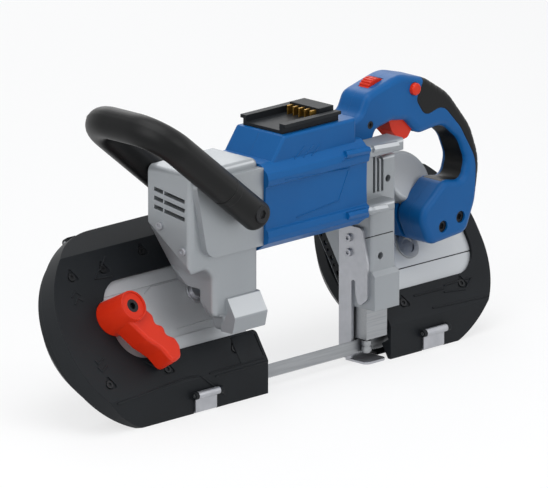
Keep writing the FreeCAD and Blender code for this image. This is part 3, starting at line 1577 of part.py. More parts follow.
def housing_half(side):
    """Half of the housing, side -1 for the user's half and 1 for the far half."""
    corners = from_shares(housing_shares, motor_y, side * housing_half_depth, housing_low_z, housing_height)
    shell = prism(corners, "yz", front_face_x, housing_end_x)
    seat = prism(seat_corners(), "xz", 0, seat_half_width)
    seat.translate(Vector(0, motor_y - seat_half_width if side < 0 else motor_y, 0))
    edge_y = seat_half_width - fit_gap
    seat = fillet_edges(seat, seat_round, lambda edge: abs(edge.CenterOfMass.y - motor_y) > edge_y
                        and edge.CenterOfMass.z > housing_top_z + fit_gap)
    return shell.fuse(seat).cut(motor_room()).cut(board_block()).removeSplitter()


def seat_corners():
    start = front_face_x + seat_ramp_share * housing_length
    front = front_face_x + seat_front_share * housing_length
    rear = front_face_x + seat_rear_share * housing_length
    low = housing_top_z - seat_round
    return [(start, low, 0), (start, housing_top_z, 0), (front, seat_z, seat_round), (rear, seat_z, 0),
            (rear, low, 0)]


def motor_room():
    """Bore of the housing with its bearing seats."""
    rear_bearing, stator_end, stator_start, fan_end, front_bearing = motor_places()
    room = motor_rod(stator_radius, front_bearing, rear_bearing)
    seat_radius = rotor_shaft_radius + bearing_wall
    return room.fuse(motor_rod(seat_radius, front_bearing - bearing_width, housing_end_x))


def board_block():
    middle = (front_face_x + housing_end_x) / 2
    high = seat_z - board_drop
    return span_box((middle - board_length / 2, middle + board_length / 2),
                    (motor_y - board_half_width, motor_y + board_half_width), (high - board_thickness, high))


def slide_span():
    """Ends of the battery slide along x."""
    front = front_face_x + seat_front_share * housing_length + seat_round
    return front, front + (seat_rear_share - seat_front_share) * housing_length * rail_length_share


def make_battery_slide():
    start, end = slide_span()
    base = span_box((start, end), (motor_y - rail_half_width, motor_y + rail_half_width),
                    (seat_z, seat_z + rail_base))
    parts = []
    for side in (-1, 1):
        inner = motor_y + side * (rail_half_width - rail_lip)
        parts.append(span_box((start, end), (inner, motor_y + side * rail_half_width),
                              (seat_z, seat_z + rail_height)))
        parts.append(span_box((start, end), (inner, motor_y + side * (rail_half_width + rail_lip)),
                              (seat_z + rail_height - rail_lip_height, seat_z + rail_height)))
    parts.append(span_box((end - terminal_length, end),
                          (motor_y - terminal_half_width, motor_y + terminal_half_width),
                          (seat_z, seat_z + rail_base + contact_height + rail_base / 2)))
    return base.fuse(parts).cut(contact_roots()).removeSplitter()


def contact_blades(start, length):
    """Row of contact blades from start along x."""
    blades = []
    first = motor_y - contact_pitch * (contact_count - 1) / 2
    for index in range(contact_count):
        y = first + contact_pitch * index
        blades.append(span_box((start, start + length),
                               (y - contact_thickness / 2, y + contact_thickness / 2),
                               (seat_z + rail_base, seat_z + rail_base + contact_height)))
    return blades


def contact_start():
    start, end = slide_span()
    return end - terminal_length - contact_length / 2


def contact_roots():
    blades = contact_blades(contact_start() + contact_length / 2, contact_length / 2)
    return blades[0].fuse(blades[1:])


def make_contacts():
    return Part.makeCompound(contact_blades(contact_start(), contact_length))


# D-handle

def handle_points(table):
    return from_shares(table, handle_x, handle_length, handle_low_z, handle_height)


def handle_place(u, v):
    """Point on the handle's middle plane from shares of its length and height."""
    return Vector(handle_x + u * handle_length, handle_y, handle_low_z + v * handle_height)


def handle_body():
    """Whole handle, both halves in one, before it is split."""
    body = prism(handle_points(handle_shares), "xz", handle_y - handle_half, handle_y + handle_half)
    side_y = handle_half - fit_gap
    return fillet_edges(body, handle_round_share * handle_half, lambda edge: abs(edge.CenterOfMass.y - handle_y) > side_y)


def handle_core():
    """Inside of the handle that stays when the grip pad's skin is taken."""
    core = outline_face(handle_points(handle_shares), "xz").makeOffset2D(-pad_skin)
    core.translate(Vector(0, handle_y - handle_half + pad_skin, 0))
    return core.extrude(Vector(0, 2 * (handle_half - pad_skin), 0))


def pad_region():
    return prism(handle_points(pad_shares), "xz", handle_y - 2 * handle_half, handle_y + 2 * handle_half)


def make_pad(body):
    return body.common(pad_region()).cut(handle_core())


def liner_region():
    return prism(handle_points(liner_shares), "xz", handle_y - liner_half, handle_y + liner_half)


def handle_base():
    """Far part of the handle's foot, down to the deck plate."""
    foot = prism(handle_points(handle_shares), "xz", handle_y + handle_half,
                 handle_y + handle_half + handle_length / 2)
    low = span_box((handle_x, handle_x + handle_length), (handle_y, handle_y + handle_length),
                   (handle_low_z, handle_low_z + handle_base_share * handle_height))
    return foot.common(low).cut(behind_deck(plate_front))


def pull_way():
    angle = math.radians(trigger_pull_deg)
    return Vector(math.cos(angle), 0, math.sin(angle))


def make_trigger():
    return prism(handle_points(trigger_shares), "xz", handle_y - trigger_half, handle_y + trigger_half)


def trigger_space():
    """Space that the trigger needs over its whole travel."""
    block = prism(handle_points(trigger_shares), "xz", handle_y - trigger_half - trigger_room,
                  handle_y + trigger_half + trigger_room)
    pull = pull_way()
    across = Vector(-pull.z, 0, pull.x)
    copies = []
    for along in (-trigger_room, trigger_travel / 2, trigger_travel + trigger_room):
        for side in (-trigger_room, trigger_room):
            copy = block.copy()
            copy.translate(pull * along + across * side)
            copies.append(copy)
    return copies[0].fuse(copies[1:])


def make_switch():
    centre = handle_place(*switch_shares)
    half = Vector(switch_length / 2, switch_half, switch_height / 2)
    low = centre - half
    return Part.makeBox(switch_length, 2 * switch_half, switch_height, low)


def button_rod(radius, low, high):
    """Rod along y at the lock button, from low to high about the handle's middle."""
    centre = handle_place(button_share, button_height_share)
    return rod(radius, centre + Vector(0, low, 0), centre + Vector(0, high, 0))


def make_button():
    reach = handle_half + button_proud
    button = button_rod(button_radius, -reach, reach)
    return fillet_edges(button, button_flange, lambda edge: edge.Curve.TypeId == "Part::GeomCircle")


def dial_rod(radius, half):
    centre = handle_place(dial_share, dial_height_share)
    return rod(radius, centre - Vector(0, half, 0), centre + Vector(0, half, 0))


def make_dial():
    wheel = dial_rod(dial_radius, dial_half)
    centre = handle_place(dial_share, dial_height_share)
    notches = []
    for index in range(dial_rib_count):
        notch = rod(dial_rib, Vector(centre.x + dial_radius, handle_y - dial_half, centre.z),
                    Vector(centre.x + dial_radius, handle_y + dial_half, centre.z))
        notch.rotate(centre, Vector(0, 1, 0), 360 * index / dial_rib_count)
        notches.append(notch)
    return wheel.cut(notches[0].fuse(notches[1:])).fuse(dial_rod(dial_pin_radius, dial_half * 2))


def handle_screw_seats():
    """Seats of the two deep screws in the handle's foot and of the shell screws."""
    out = Vector(0, handle_half - handle_bolt_sink, 0)
    deep = [handle_place(u, v) - out for u, v in handle_bolt_shares]
    shallow_out = Vector(0, handle_half - screw_head - fit_gap, 0)
    shallow = [handle_place(u, v) - shallow_out for u, v in shell_screw_shares]
    return deep, shallow


def handle_screw_rooms():
    deep, shallow = handle_screw_seats()
    near = Vector(0, -1, 0)
    rooms = [screw_room(handle_bolt_head_radius, handle_bolt_sink, handle_bolt_radius, handle_half, seat,
                        near) for seat in deep]
    rooms += [screw_room(screw_head_radius, screw_head, screw_radius, handle_half, seat, near)
              for seat in shallow]
    return rooms[0].fuse(rooms[1:])


def make_handle_shells(body, pad, neighbours):
    """Near and far shell of the handle."""
    whole = body.fuse(handle_base()).cut(pad).cut(liner_region())
    cuts = [make_switch(), button_rod(button_radius + fit_gap, -2 * handle_half, 2 * handle_half),
            dial_rod(dial_radius + 3 * fit_gap, dial_half + fit_gap),
            dial_rod(dial_pin_radius + shaft_fit, dial_half * 2 + fit_gap)]
    whole = whole.cut(trigger_space()).cut(cuts[0].fuse(cuts[1:])).cut(handle_screw_rooms())
    for piece in neighbours:
        whole = whole.cut(piece)
    near_side = span_box((-blade_length, blade_length), (-blade_length, handle_y),
                         (-blade_length, blade_length))
    near = max(whole.common(near_side).Solids, key=lambda solid: solid.Volume)
    far = max(whole.cut(near_side).Solids, key=lambda solid: solid.Volume)
    return near, far


# Front loop handle

def loop_points():
    """Corners of the loop: near foot, near bend, far bend, far foot."""
    near_y = front_column_near_y - handle_pad_depth - loop_grip_radius - fit_gap
    far_y = front_column_far_y + loop_grip_radius + fit_gap
    foot_x = front_face_x - loop_foot_x_setback
    top = Vector(foot_x - loop_reach, near_y, loop_foot_z + loop_rise)
    return [Vector(foot_x, near_y, loop_foot_z), top, Vector(top.x, far_y, top.z),
            Vector(foot_x, far_y, loop_foot_z)]


def loop_tube(radius, trim):
    """Round bar along the loop with two quarter bends, shortened by trim at both ends."""
    near, near_top, far_top, far = loop_points()
    slope = loop_slope()
    across = Vector(0, 1, 0)
    turn_axis = slope.cross(across)
    near_in = near_top - slope * loop_bend
    near_out = near_top + across * loop_bend
    far_in = far_top - across * loop_bend
    far_out = far_top - slope * loop_bend
    bar = rod(radius, near + slope * trim, near_in)
    near_bend = Part.Face(Part.Wire(Part.makeCircle(radius, near_in, slope)))
    near_bend = near_bend.revolve(near_in + across * loop_bend, turn_axis, 90)
    far_bend = Part.Face(Part.Wire(Part.makeCircle(radius, far_in, across)))
    far_bend = far_bend.revolve(far_in - slope * loop_bend, turn_axis, 90)
    return bar.fuse([near_bend, rod(radius, near_out, far_in), far_bend,
                     rod(radius, far_out, far + slope * trim)])


def loop_slope():
    """Way from the loop's feet up to its crossbar."""
    near, near_top, far_top, far = loop_points()
    slope = near_top - near
    slope.normalize()
    return slope


def make_loop_bar(casting):
    near, near_top, far_top, far = loop_points()
    slope = loop_slope()
    pieces = []
    for end, side in ((near, 1), (far, -1)):
        collar = rod(loop_end_radius, end - slope * loop_bar_radius, end + slope * loop_collar)
        pieces.append(fillet_edges(collar, loop_end_round, lambda edge: edge.CenterOfMass.z < end.z))
        pieces.append(rod(loop_boss_radius, end, end + Vector(0, side * (loop_grip_radius + fit_gap), 0)))
    bar = loop_tube(loop_bar_radius, 0).fuse(pieces)
    for seat, out in loop_screw_seats():
        bar = bar.cut(screw_room(loop_screw_head_radius, loop_screw_sink, loop_screw_radius,
                                 2 * loop_end_radius, seat, out))
    return bar.cut(casting)


def make_loop_grip():
    return loop_tube(loop_grip_radius, loop_collar).cut(loop_tube(loop_bar_radius, loop_collar))


def loop_screw_seats():
    """Seats and outward ways of the two screws that hold the loop."""
    near, near_top, far_top, far = loop_points()
    depth = loop_end_radius - loop_screw_sink
    return [(near - Vector(0, depth, 0), Vector(0, -1, 0)), (far + Vector(0, depth, 0), Vector(0, 1, 0))]


def loop_screw(seat, out):
    return socket_screw(loop_screw_head_radius, loop_screw_sink, loop_screw_radius, 2 * loop_end_radius,
                        seat, out)


def make_guard():
    """Channel over the return run of the blade, hung from the beam by two webs."""
    reach = blade_width / 2 + guard_room
    low = wheel_radius - guard_room
    high = wheel_radius + guard_room
    outer = span_box((front_face_x, rear_face_x), (low - guard_wall, high + guard_wall),
                     (-reach - guard_wall, reach + guard_wall))
    room = span_box((front_face_x - cut_over, rear_face_x + cut_over), (low, high), (-reach, reach))
    guard = outer.cut(room)
    webs = []
    for end, way in ((front_face_x, 1), (rear_face_x, -1)):
        webs.append(span_box((end + way * guard_web_inset, end + way * (guard_web_inset + guard_web)),
                             (low, high),
                             (reach + guard_wall, reach + guard_wall + guard_web_height)))
    return on_deck(guard.fuse(webs)).cut(make_beam_block())


def make_beam_block():
    return span_box((front_face_x, rear_face_x), (beam_y(), beam_y() + beam_depth),
                    (beam_z(), beam_z() + beam_height))


PIECES = {}


def build():
    PIECES["blade"] = make_blade()
    PIECES["drive_tyre"] = make_tyre(rear_x)
    PIECES["idler_tyre"] = make_tyre(front_x)
    PIECES["drive_wheel"] = make_wheel(rear_x)
    PIECES["idler_wheel"] = make_wheel(front_x)
    PIECES["drive_ring_gear"] = make_ring_gear()
    PIECES["drive_axle"] = make_drive_axle()
    PIECES["bevel_gear"] = make_bevel_gear()
    PIECES["drive_pinion"] = make_drive_pinion()
    PIECES["layshaft"] = make_layshaft()
    PIECES["rotor_shaft"] = make_rotor_shaft()
    PIECES["rotor_core"] = make_rotor_core()
    PIECES["motor_fan"] = make_fan()
    PIECES["motor_stator"] = make_stator()
    PIECES["shaft_bearings"] = make_bearings()

    front_seats = screw_seats(front_x, front_screw_shares)
    rear_seats = screw_seats(rear_x, rear_screw_shares)
    holes = [rod(screw_radius, seat, seat - deck_out() * screw_length) for seat in front_seats + rear_seats]
    holes = holes[0].fuse(holes[1:])
    loop_holes = [rod(loop_screw_radius, seat, seat - out * 2 * loop_end_radius)
                  for seat, out in loop_screw_seats()]
    front_casting = make_front_casting().fuse(spring_seat()).cut(deck_sink())
    front_casting = front_casting.cut(holes).cut(casting_screw_rooms())
    front_casting = front_casting.cut(loop_holes[0].fuse(loop_holes[1:])).cut(thrust_room(front_thrust_x))
    rear_casting = make_rear_casting().cut(holes).cut(strip_pocket()).cut(stop_screw_rooms()).removeSplitter()
    PIECES["front_casting"] = front_casting
    PIECES["rear_casting"] = rear_casting
    PIECES["bridge_beam"] = make_bridge_beam()
    PIECES["return_guard"] = make_guard()
    PIECES["front_guide_block"] = make_front_guide()
    door_room = deck_rod(door_radius + guide_room, rear_x, 0, -door_depth, pod_rim_back)
    PIECES["rear_guide_block"] = make_rear_guide().cut(rear_casting).cut(door_room)
    PIECES["front_bumper"] = make_bumper(front_x, -1, front_end_x, front_face_x, front_window_reach,
                                         front_casting,
                                         front_seats, [guide_clear(), lever_clear()])
    PIECES["rear_bumper"] = make_bumper(rear_x, 1, rear_face_x + rear_column_width, rear_face_x,
                                        rear_window_reach,
                                        rear_casting, rear_seats, [])
    PIECES["bumper_screws"] = Part.makeCompound([bumper_screw(seat) for seat in front_seats + rear_seats])
    PIECES["front_door"] = make_door(front_x, -1, front_guide_x - guide_room, front_foot_start)
    PIECES["rear_door"] = make_door(rear_x, 1, rear_face_x + rear_column_width, rear_foot_start)
    PIECES["front_latch"] = make_latch(latch_x(-1))
    PIECES["rear_latch"] = make_latch(latch_x(1))
    PIECES["hinge_pins"] = make_hinge_pins()

    PIECES["tension_lever"] = make_lever()
    PIECES["lever_screw"] = make_lever_screw()
    PIECES["tension_cam"] = make_cam()
    PIECES["idler_slide"] = make_slide()
    PIECES["tension_spring"] = make_spring()

    for name, x, side in (("front_roller_near", front_side_x, -1), ("front_roller_far", front_side_x, 1),
                          ("rear_roller_near", rear_side_x, -1), ("rear_roller_far", rear_side_x, 1)):
        PIECES[name] = side_roller(x, side)
    PIECES["front_thrust_roller"] = thrust_roller(front_thrust_x)
    PIECES["rear_thrust_roller"] = thrust_roller(rear_thrust_x)
    PIECES["skid_plate"] = make_skid().cut(deck_rod(door_radius + guide_room, rear_x, 0, -door_depth,
                                                    pod_rim_back))
    PIECES["work_stop"] = make_stop()
    PIECES["throat_strip"] = make_strip()
    PIECES["casting_screws"] = make_casting_screws()

    housing = [housing_half(-1), housing_half(1)]
    PIECES["motor_housing_near"], PIECES["motor_housing_far"] = housing
    PIECES["control_board"] = board_block()
    PIECES["battery_slide"] = make_battery_slide()
    PIECES["battery_contacts"] = make_contacts()

    body = handle_body()
    pad = make_pad(body)
    PIECES["rear_grip_pad"] = pad
    PIECES["handle_liner"] = body.common(liner_region())
    near, far = make_handle_shells(body, pad, housing + [rear_casting, PIECES["rear_bumper"],
                                                         PIECES["drive_axle"]])
    PIECES["handle_shell_near"] = near
    PIECES["handle_shell_far"] = far
    PIECES["trigger"] = make_trigger()
    PIECES["switch_body"] = make_switch()
    PIECES["lock_button"] = make_button()
    PIECES["speed_dial"] = make_dial()
    deep, shallow = handle_screw_seats()
    screws = [socket_screw(handle_bolt_head_radius, handle_bolt_radius, handle_bolt_radius,
                           handle_half / 2, seat,
                           Vector(0, -1, 0)) for seat in deep]
    screws += [socket_screw(screw_head_radius, screw_head, screw_radius, handle_half / 2, seat,
                            Vector(0, -1, 0))
               for seat in shallow]
    screws += [loop_screw(seat, out) for seat, out in loop_screw_seats()]
    PIECES["handle_screws"] = Part.makeCompound(screws)
    PIECES["front_handle_bar"] = make_loop_bar(front_casting)
    PIECES["front_handle_grip"] = make_loop_grip()


build()

# The part stands on the floor with its origin under the middle of its box
whole_box = Part.makeCompound(list(PIECES.values())).optimalBoundingBox()
to_floor = Vector(-whole_box.Center.x, -whole_box.Center.y, -whole_box.ZMin)
os.makedirs("parts", exist_ok=True)
for name, shape in PIECES.items():
    placed = shape.copy()
    placed.translate(to_floor)
    placed.exportStep("parts/" + name + ".step")
    print(name, placed.isValid(), len(placed.Solids), round(placed.Volume))
print("moved by", to_floor, "size", whole_box.XLength, whole_box.YLength, whole_box.ZLength)
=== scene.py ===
import math

import bpy
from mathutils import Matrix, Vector


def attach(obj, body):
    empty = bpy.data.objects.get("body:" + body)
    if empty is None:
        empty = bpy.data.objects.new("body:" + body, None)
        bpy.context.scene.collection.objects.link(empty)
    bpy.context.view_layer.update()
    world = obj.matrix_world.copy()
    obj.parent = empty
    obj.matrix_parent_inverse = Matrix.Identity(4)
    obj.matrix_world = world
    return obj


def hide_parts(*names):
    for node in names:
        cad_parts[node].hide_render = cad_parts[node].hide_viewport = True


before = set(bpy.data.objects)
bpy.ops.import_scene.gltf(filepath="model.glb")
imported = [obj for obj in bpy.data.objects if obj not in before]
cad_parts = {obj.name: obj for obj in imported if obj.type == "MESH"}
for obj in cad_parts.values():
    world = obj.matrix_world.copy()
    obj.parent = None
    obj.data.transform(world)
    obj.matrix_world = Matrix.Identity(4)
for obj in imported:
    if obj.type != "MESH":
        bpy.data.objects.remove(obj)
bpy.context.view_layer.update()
bpy.ops.object.select_all(action="DESELECT")

# Stage: a pale sweep of paper under soft studio lamps, as for a catalogue picture.
# The camera stands low at the front left and looks along the saw through a very long lens.
PHOTO_SIZE = (548, 488)
VIEW_TURN = math.radians(45.17)
VIEW_TILT = math.radians(15.2)
VIEW_DISTANCE = 10.0
FOCAL_PIXELS = 11360.0
SENSOR = 36.0
CLIP_END = 40.0
AIM = Vector((0.00993, 0.0123, 0.11668))
ROOM_LIGHT = 0.42
FLOOR_SIZE = 8.0
FLOOR_GLOW = 0.72
LAMP_AIM = Vector((0, 0, 0.12))
LAMPS = (("top_lamp", (-0.2, -0.3, 1.9), 1.5, 22.0), ("left_lamp", (-1.7, -0.6, 1.0), 1.2, 13.0),
         ("front_lamp", (0.5, -1.9, 0.9), 1.2, 9.0), ("back_lamp", (1.0, 1.6, 1.3), 1.2, 10.0))


def srgb(code):
    """Linear colour from an sRGB hex value."""
    parts = [int(code[i:i + 2], 16) / 255 for i in (1, 3, 5)]
    return [p / 12.92 if p <= 0.04045 else ((p + 0.055) / 1.055) ** 2.4 for p in parts] + [1.0]


def add_node(tree, kind, settings, inputs):
    """One shader node with its settings; an input is a value, or another node's output socket."""
    made = tree.nodes.new(kind)
    for name, value in settings.items():
        setattr(made, name, value)
    for socket, value in inputs.items():
        if isinstance(value, bpy.types.NodeSocket):
            tree.links.new(value, made.inputs[socket])
        else:
            made.inputs[socket].default_value = value
    return made


ahead = Vector((math.sin(VIEW_TURN) * math.cos(VIEW_TILT), math.cos(VIEW_TURN) * math.cos(VIEW_TILT),
                -math.sin(VIEW_TILT)))
bpy.ops.object.camera_add(location=AIM - ahead * VIEW_DISTANCE,
                          rotation=ahead.to_track_quat("-Z", "Y").to_euler())
camera = bpy.context.object
camera.data.sensor_width = SENSOR
camera.data.lens = FOCAL_PIXELS * SENSOR / PHOTO_SIZE[0]
camera.data.clip_end = CLIP_END
bpy.context.scene.camera = camera
bpy.context.scene.view_settings.view_transform = "Standard"

world = bpy.data.worlds.new("studio")
bpy.context.scene.world = world
world.use_nodes = True
tree = world.node_tree
tree.nodes.clear()
path = add_node(tree, "ShaderNodeLightPath", {}, {})
direct = add_node(tree, "ShaderNodeMath", {"operation": "MAXIMUM"},
                  {0: path.outputs["Is Camera Ray"], 1: path.outputs["Is Transmission Ray"]})
seen = add_node(tree, "ShaderNodeMath", {"operation": "MAXIMUM"},
                {0: direct.outputs[0], 1: path.outputs["Is Glossy Ray"]})
room = add_node(tree, "ShaderNodeBackground", {}, {"Color": srgb("#e9eef4"), "Strength": ROOM_LIGHT})
paper = add_node(tree, "ShaderNodeBackground", {}, {"Color": srgb("#ffffff"), "Strength": 1.0})
mixed = add_node(tree, "ShaderNodeMixShader", {},
                 {0: seen.outputs[0], 1: room.outputs[0], 2: paper.outputs[0]})
add_node(tree, "ShaderNodeOutputWorld", {}, {"Surface": mixed.outputs[0]})

bpy.ops.mesh.primitive_plane_add(size=FLOOR_SIZE, location=(0, 0, 0))
floor = bpy.context.object
floor.name = "floor"
floor_paint = bpy.data.materials.new("white_paper")
floor_paint.use_nodes = True
tree = floor_paint.node_tree
tree.nodes.clear()
path = add_node(tree, "ShaderNodeLightPath", {}, {})
direct = add_node(tree, "ShaderNodeMath", {"operation": "MAXIMUM"},
                  {0: path.outputs["Is Camera Ray"], 1: path.outputs["Is Transmission Ray"]})
shown = add_node(tree, "ShaderNodeMath", {"operation": "MAXIMUM"},
                 {0: direct.outputs[0], 1: path.outputs["Is Glossy Ray"]})
seen = add_node(tree, "ShaderNodeMath", {"operation": "MULTIPLY"}, {0: shown.outputs[0], 1: FLOOR_GLOW})
matt = add_node(tree, "ShaderNodeBsdfDiffuse", {}, {"Color": srgb("#f2f2f2")})
glow = add_node(tree, "ShaderNodeEmission", {}, {"Color": srgb("#ffffff"), "Strength": 1.0})
mixed = add_node(tree, "ShaderNodeMixShader", {},
                 {0: seen.outputs[0], 1: matt.outputs[0], 2: glow.outputs[0]})
add_node(tree, "ShaderNodeOutputMaterial", {}, {"Surface": mixed.outputs[0]})
floor.data.materials.append(floor_paint)

for name, place, size, power in LAMPS:
    to_saw = LAMP_AIM - Vector(place)
    bpy.ops.object.light_add(type="AREA", location=place,
                             rotation=to_saw.to_track_quat("-Z", "Y").to_euler())
    lamp = bpy.context.object
    lamp.name = name
    lamp.data.size = size
    lamp.data.energy = power


# Castings: the two columns with their deck plates and the beam between them, die-cast aluminium.
# They are shot-blasted and painted silver grey, so they are satin with a fine grain.
# The faces that lie in the leaning deck get a paler grey than the rest, a painted highlight.
def start_material(name):
    """Empty material with its tree, its Object coordinates and a bevelled normal."""
    made = bpy.data.materials.new(name)
    made.use_nodes = True
    made.node_tree.nodes.clear()
    place = add_node(made.node_tree, "ShaderNodeTexCoord", {}, {})
    edge = add_node(made.node_tree, "ShaderNodeBevel", {"samples": EDGE_SAMPLES}, {"Radius": EDGE_ROUND})
    return made, made.node_tree, place.outputs["Object"], edge.outputs[0]


def paint(material, *names):
    """Gives the material to CAD nodes."""
    for name in names:
        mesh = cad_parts[name].data
        mesh.materials.clear()
        mesh.materials.append(material)


EDGE_ROUND = 0.0007
EDGE_SAMPLES = 4
CAST_GRAIN = 0.0016
CAST_PATCHES_PER_METRE = 14.0
DECK_HIGHLIGHT_FROM = 0.97
DECK_HIGHLIGHT_FULL = 0.995
DECK_LEAN = math.radians(32)
deck_out = Vector((0, -math.cos(DECK_LEAN), math.sin(DECK_LEAN)))
cast_silver, tree, place, edge = start_material("painted_die_cast_aluminium")
grain = add_node(tree, "ShaderNodeTexNoise", {}, {"Vector": place, "Scale": 1 / CAST_GRAIN, "Detail": 3.0})
broad = add_node(tree, "ShaderNodeTexNoise", {},
                 {"Vector": place, "Scale": CAST_PATCHES_PER_METRE, "Detail": 2.0})
shade = add_node(tree, "ShaderNodeValToRGB", {}, {0: broad.outputs["Fac"]})
shade.color_ramp.elements[0].color = srgb("#8d9195")
shade.color_ramp.elements[1].color = srgb("#9da1a4")
# Painted highlight: faces turned toward the deck's outward direction are mixed toward a pale grey, #bdc0c3.
turned = add_node(tree, "ShaderNodeNewGeometry", {}, {})
facing = add_node(tree, "ShaderNodeVectorMath", {"operation": "DOT_PRODUCT"},
                  {0: turned.outputs["Normal"], 1: deck_out})
deck_highlight = add_node(tree, "ShaderNodeMapRange", {},
                  {"Value": facing.outputs["Value"], "From Min": DECK_HIGHLIGHT_FROM, "From Max": DECK_HIGHLIGHT_FULL})
tone = add_node(tree, "ShaderNodeMix", {"data_type": "RGBA"},
                {0: deck_highlight.outputs[0], 6: shade.outputs[0], 7: srgb("#bdc0c3")})
rough = add_node(tree, "ShaderNodeMapRange", {},
                 {"Value": grain.outputs["Fac"], "To Min": 0.34, "To Max": 0.5})
bump = add_node(tree, "ShaderNodeBump", {},
                {"Height": grain.outputs["Fac"], "Strength": 0.06, "Distance": 0.0006, "Normal": edge})
skin = add_node(tree, "ShaderNodeBsdfPrincipled", {},
                {"Base Color": tone.outputs[2], "Metallic": 0.45, "Roughness": rough.outputs[0],
                 "Normal": bump.outputs[0]})
add_node(tree, "ShaderNodeOutputMaterial", {}, {"Surface": skin.outputs[0]})
paint(cast_silver, "front_casting", "rear_casting", "bridge_beam")

# Blade, wheels, shafts and gears: steel and aluminium turned or ground bright.
# Fine brush lines run along the blade. Turning marks are left out where no one can see them.
BRUSH_LINE = 0.0012
BRUSH_STRETCH = 0.03
ground_steel, tree, place, edge = start_material("ground_spring_steel")
along = add_node(tree, "ShaderNodeMapping", {}, {"Vector": place, "Scale": (BRUSH_STRETCH, 1.0, 1.0)})
lines = add_node(tree, "ShaderNodeTexNoise", {},
                 {"Vector": along.outputs[0], "Scale": 1 / BRUSH_LINE, "Detail": 2.0})
shade = add_node(tree, "ShaderNodeValToRGB", {}, {0: lines.outputs["Fac"]})
shade.color_ramp.elements[0].color = srgb("#86898c")
shade.color_ramp.elements[1].color = srgb("#a9abae")
rough = add_node(tree, "ShaderNodeMapRange", {},
                 {"Value": lines.outputs["Fac"], "To Min": 0.3, "To Max": 0.48})
skin = add_node(tree, "ShaderNodeBsdfPrincipled", {}, {"Base Color": shade.outputs[0], "Metallic": 1.0,
                                                       "Roughness": rough.outputs[0], "Normal": edge})
add_node(tree, "ShaderNodeOutputMaterial", {}, {"Surface": skin.outputs[0]})
paint(ground_steel, "blade", "drive_axle", "drive_wheel", "idler_wheel", "idler_slide", "tension_cam",
      "tension_spring", "drive_ring_gear", "bevel_gear", "drive_pinion", "layshaft", "rotor_shaft",
      "shaft_bearings", "rotor_core", "front_guide_block", "rear_guide_block", "front_roller_near",
      "front_roller_far", "front_thrust_roller", "rear_roller_near", "rear_roller_far", "rear_thrust_roller",
      "hinge_pins")

# Sheet pieces and bright screws: zinc-plated steel, pressed and left bare.
# Plating gives a pale, slightly cloudy grey with a soft shine.
PLATE_CLOUD = 0.009
zinc, tree, place, edge = start_material("zinc_plated_sheet")
cloud = add_node(tree, "ShaderNodeTexNoise", {}, {"Vector": place, "Scale": 1 / PLATE_CLOUD, "Detail": 4.0})
shade = add_node(tree, "ShaderNodeValToRGB", {}, {0: cloud.outputs["Fac"]})
shade.color_ramp.elements[0].color = srgb("#9fa1a6")
shade.color_ramp.elements[1].color = srgb("#bcbdc2")
rough = add_node(tree, "ShaderNodeMapRange", {},
                 {"Value": cloud.outputs["Fac"], "To Min": 0.28, "To Max": 0.46})
skin = add_node(tree, "ShaderNodeBsdfPrincipled", {}, {"Base Color": shade.outputs[0], "Metallic": 0.8,
                                                       "Roughness": rough.outputs[0], "Normal": edge})
add_node(tree, "ShaderNodeOutputMaterial", {}, {"Surface": skin.outputs[0]})
paint(zinc, "work_stop", "skid_plate", "front_latch", "rear_latch", "casting_screws")

# Bumpers and wheel doors: glass-filled nylon, moulded with a fine spark-eroded texture.
# Charcoal with a grey sheen where light grazes it.
MOULD_GRAIN = 0.0011
CHARCOAL_PATCHES_PER_METRE = 22.0
charcoal, tree, place, edge = start_material("charcoal_glass_filled_nylon")
grain = add_node(tree, "ShaderNodeTexNoise", {}, {"Vector": place, "Scale": 1 / MOULD_GRAIN, "Detail": 2.0})
broad = add_node(tree, "ShaderNodeTexNoise", {},
                 {"Vector": place, "Scale": CHARCOAL_PATCHES_PER_METRE, "Detail": 3.0})
shade = add_node(tree, "ShaderNodeValToRGB", {}, {0: broad.outputs["Fac"]})
shade.color_ramp.elements[0].color = srgb("#15171a")
shade.color_ramp.elements[1].color = srgb("#1d2023")
bump = add_node(tree, "ShaderNodeBump", {},
                {"Height": grain.outputs["Fac"], "Strength": 0.12, "Distance": 0.0004, "Normal": edge})
skin = add_node(tree, "ShaderNodeBsdfPrincipled", {}, {"Base Color": shade.outputs[0], "Roughness": 0.5,
                                                       "Specular IOR Level": 0.14, "Normal": bump.outputs[0]})
add_node(tree, "ShaderNodeOutputMaterial", {}, {"Surface": skin.outputs[0]})
paint(charcoal, "front_bumper", "rear_bumper", "front_door", "rear_door", "throat_strip", "battery_slide",
      "return_guard", "switch_body", "motor_fan")

# Blackened screws: socket screws with an oiled black oxide.
# Dark and a little shiny on the rim.
OXIDE_CLOUDS_PER_METRE = 400.0
black_oxide, tree, place, edge = start_material("black_oxide_steel")
cloud = add_node(tree, "ShaderNodeTexNoise", {},
                 {"Vector": place, "Scale": OXIDE_CLOUDS_PER_METRE, "Detail": 2.0})
rough = add_node(tree, "ShaderNodeMapRange", {},
                 {"Value": cloud.outputs["Fac"], "To Min": 0.3, "To Max": 0.45})
skin = add_node(tree, "ShaderNodeBsdfPrincipled", {}, {"Base Color": srgb("#2a2b2d"), "Metallic": 0.8,
                                                       "Roughness": rough.outputs[0], "Normal": edge})
add_node(tree, "ShaderNodeOutputMaterial", {}, {"Surface": skin.outputs[0]})
paint(black_oxide, "bumper_screws", "handle_screws", "lever_screw")

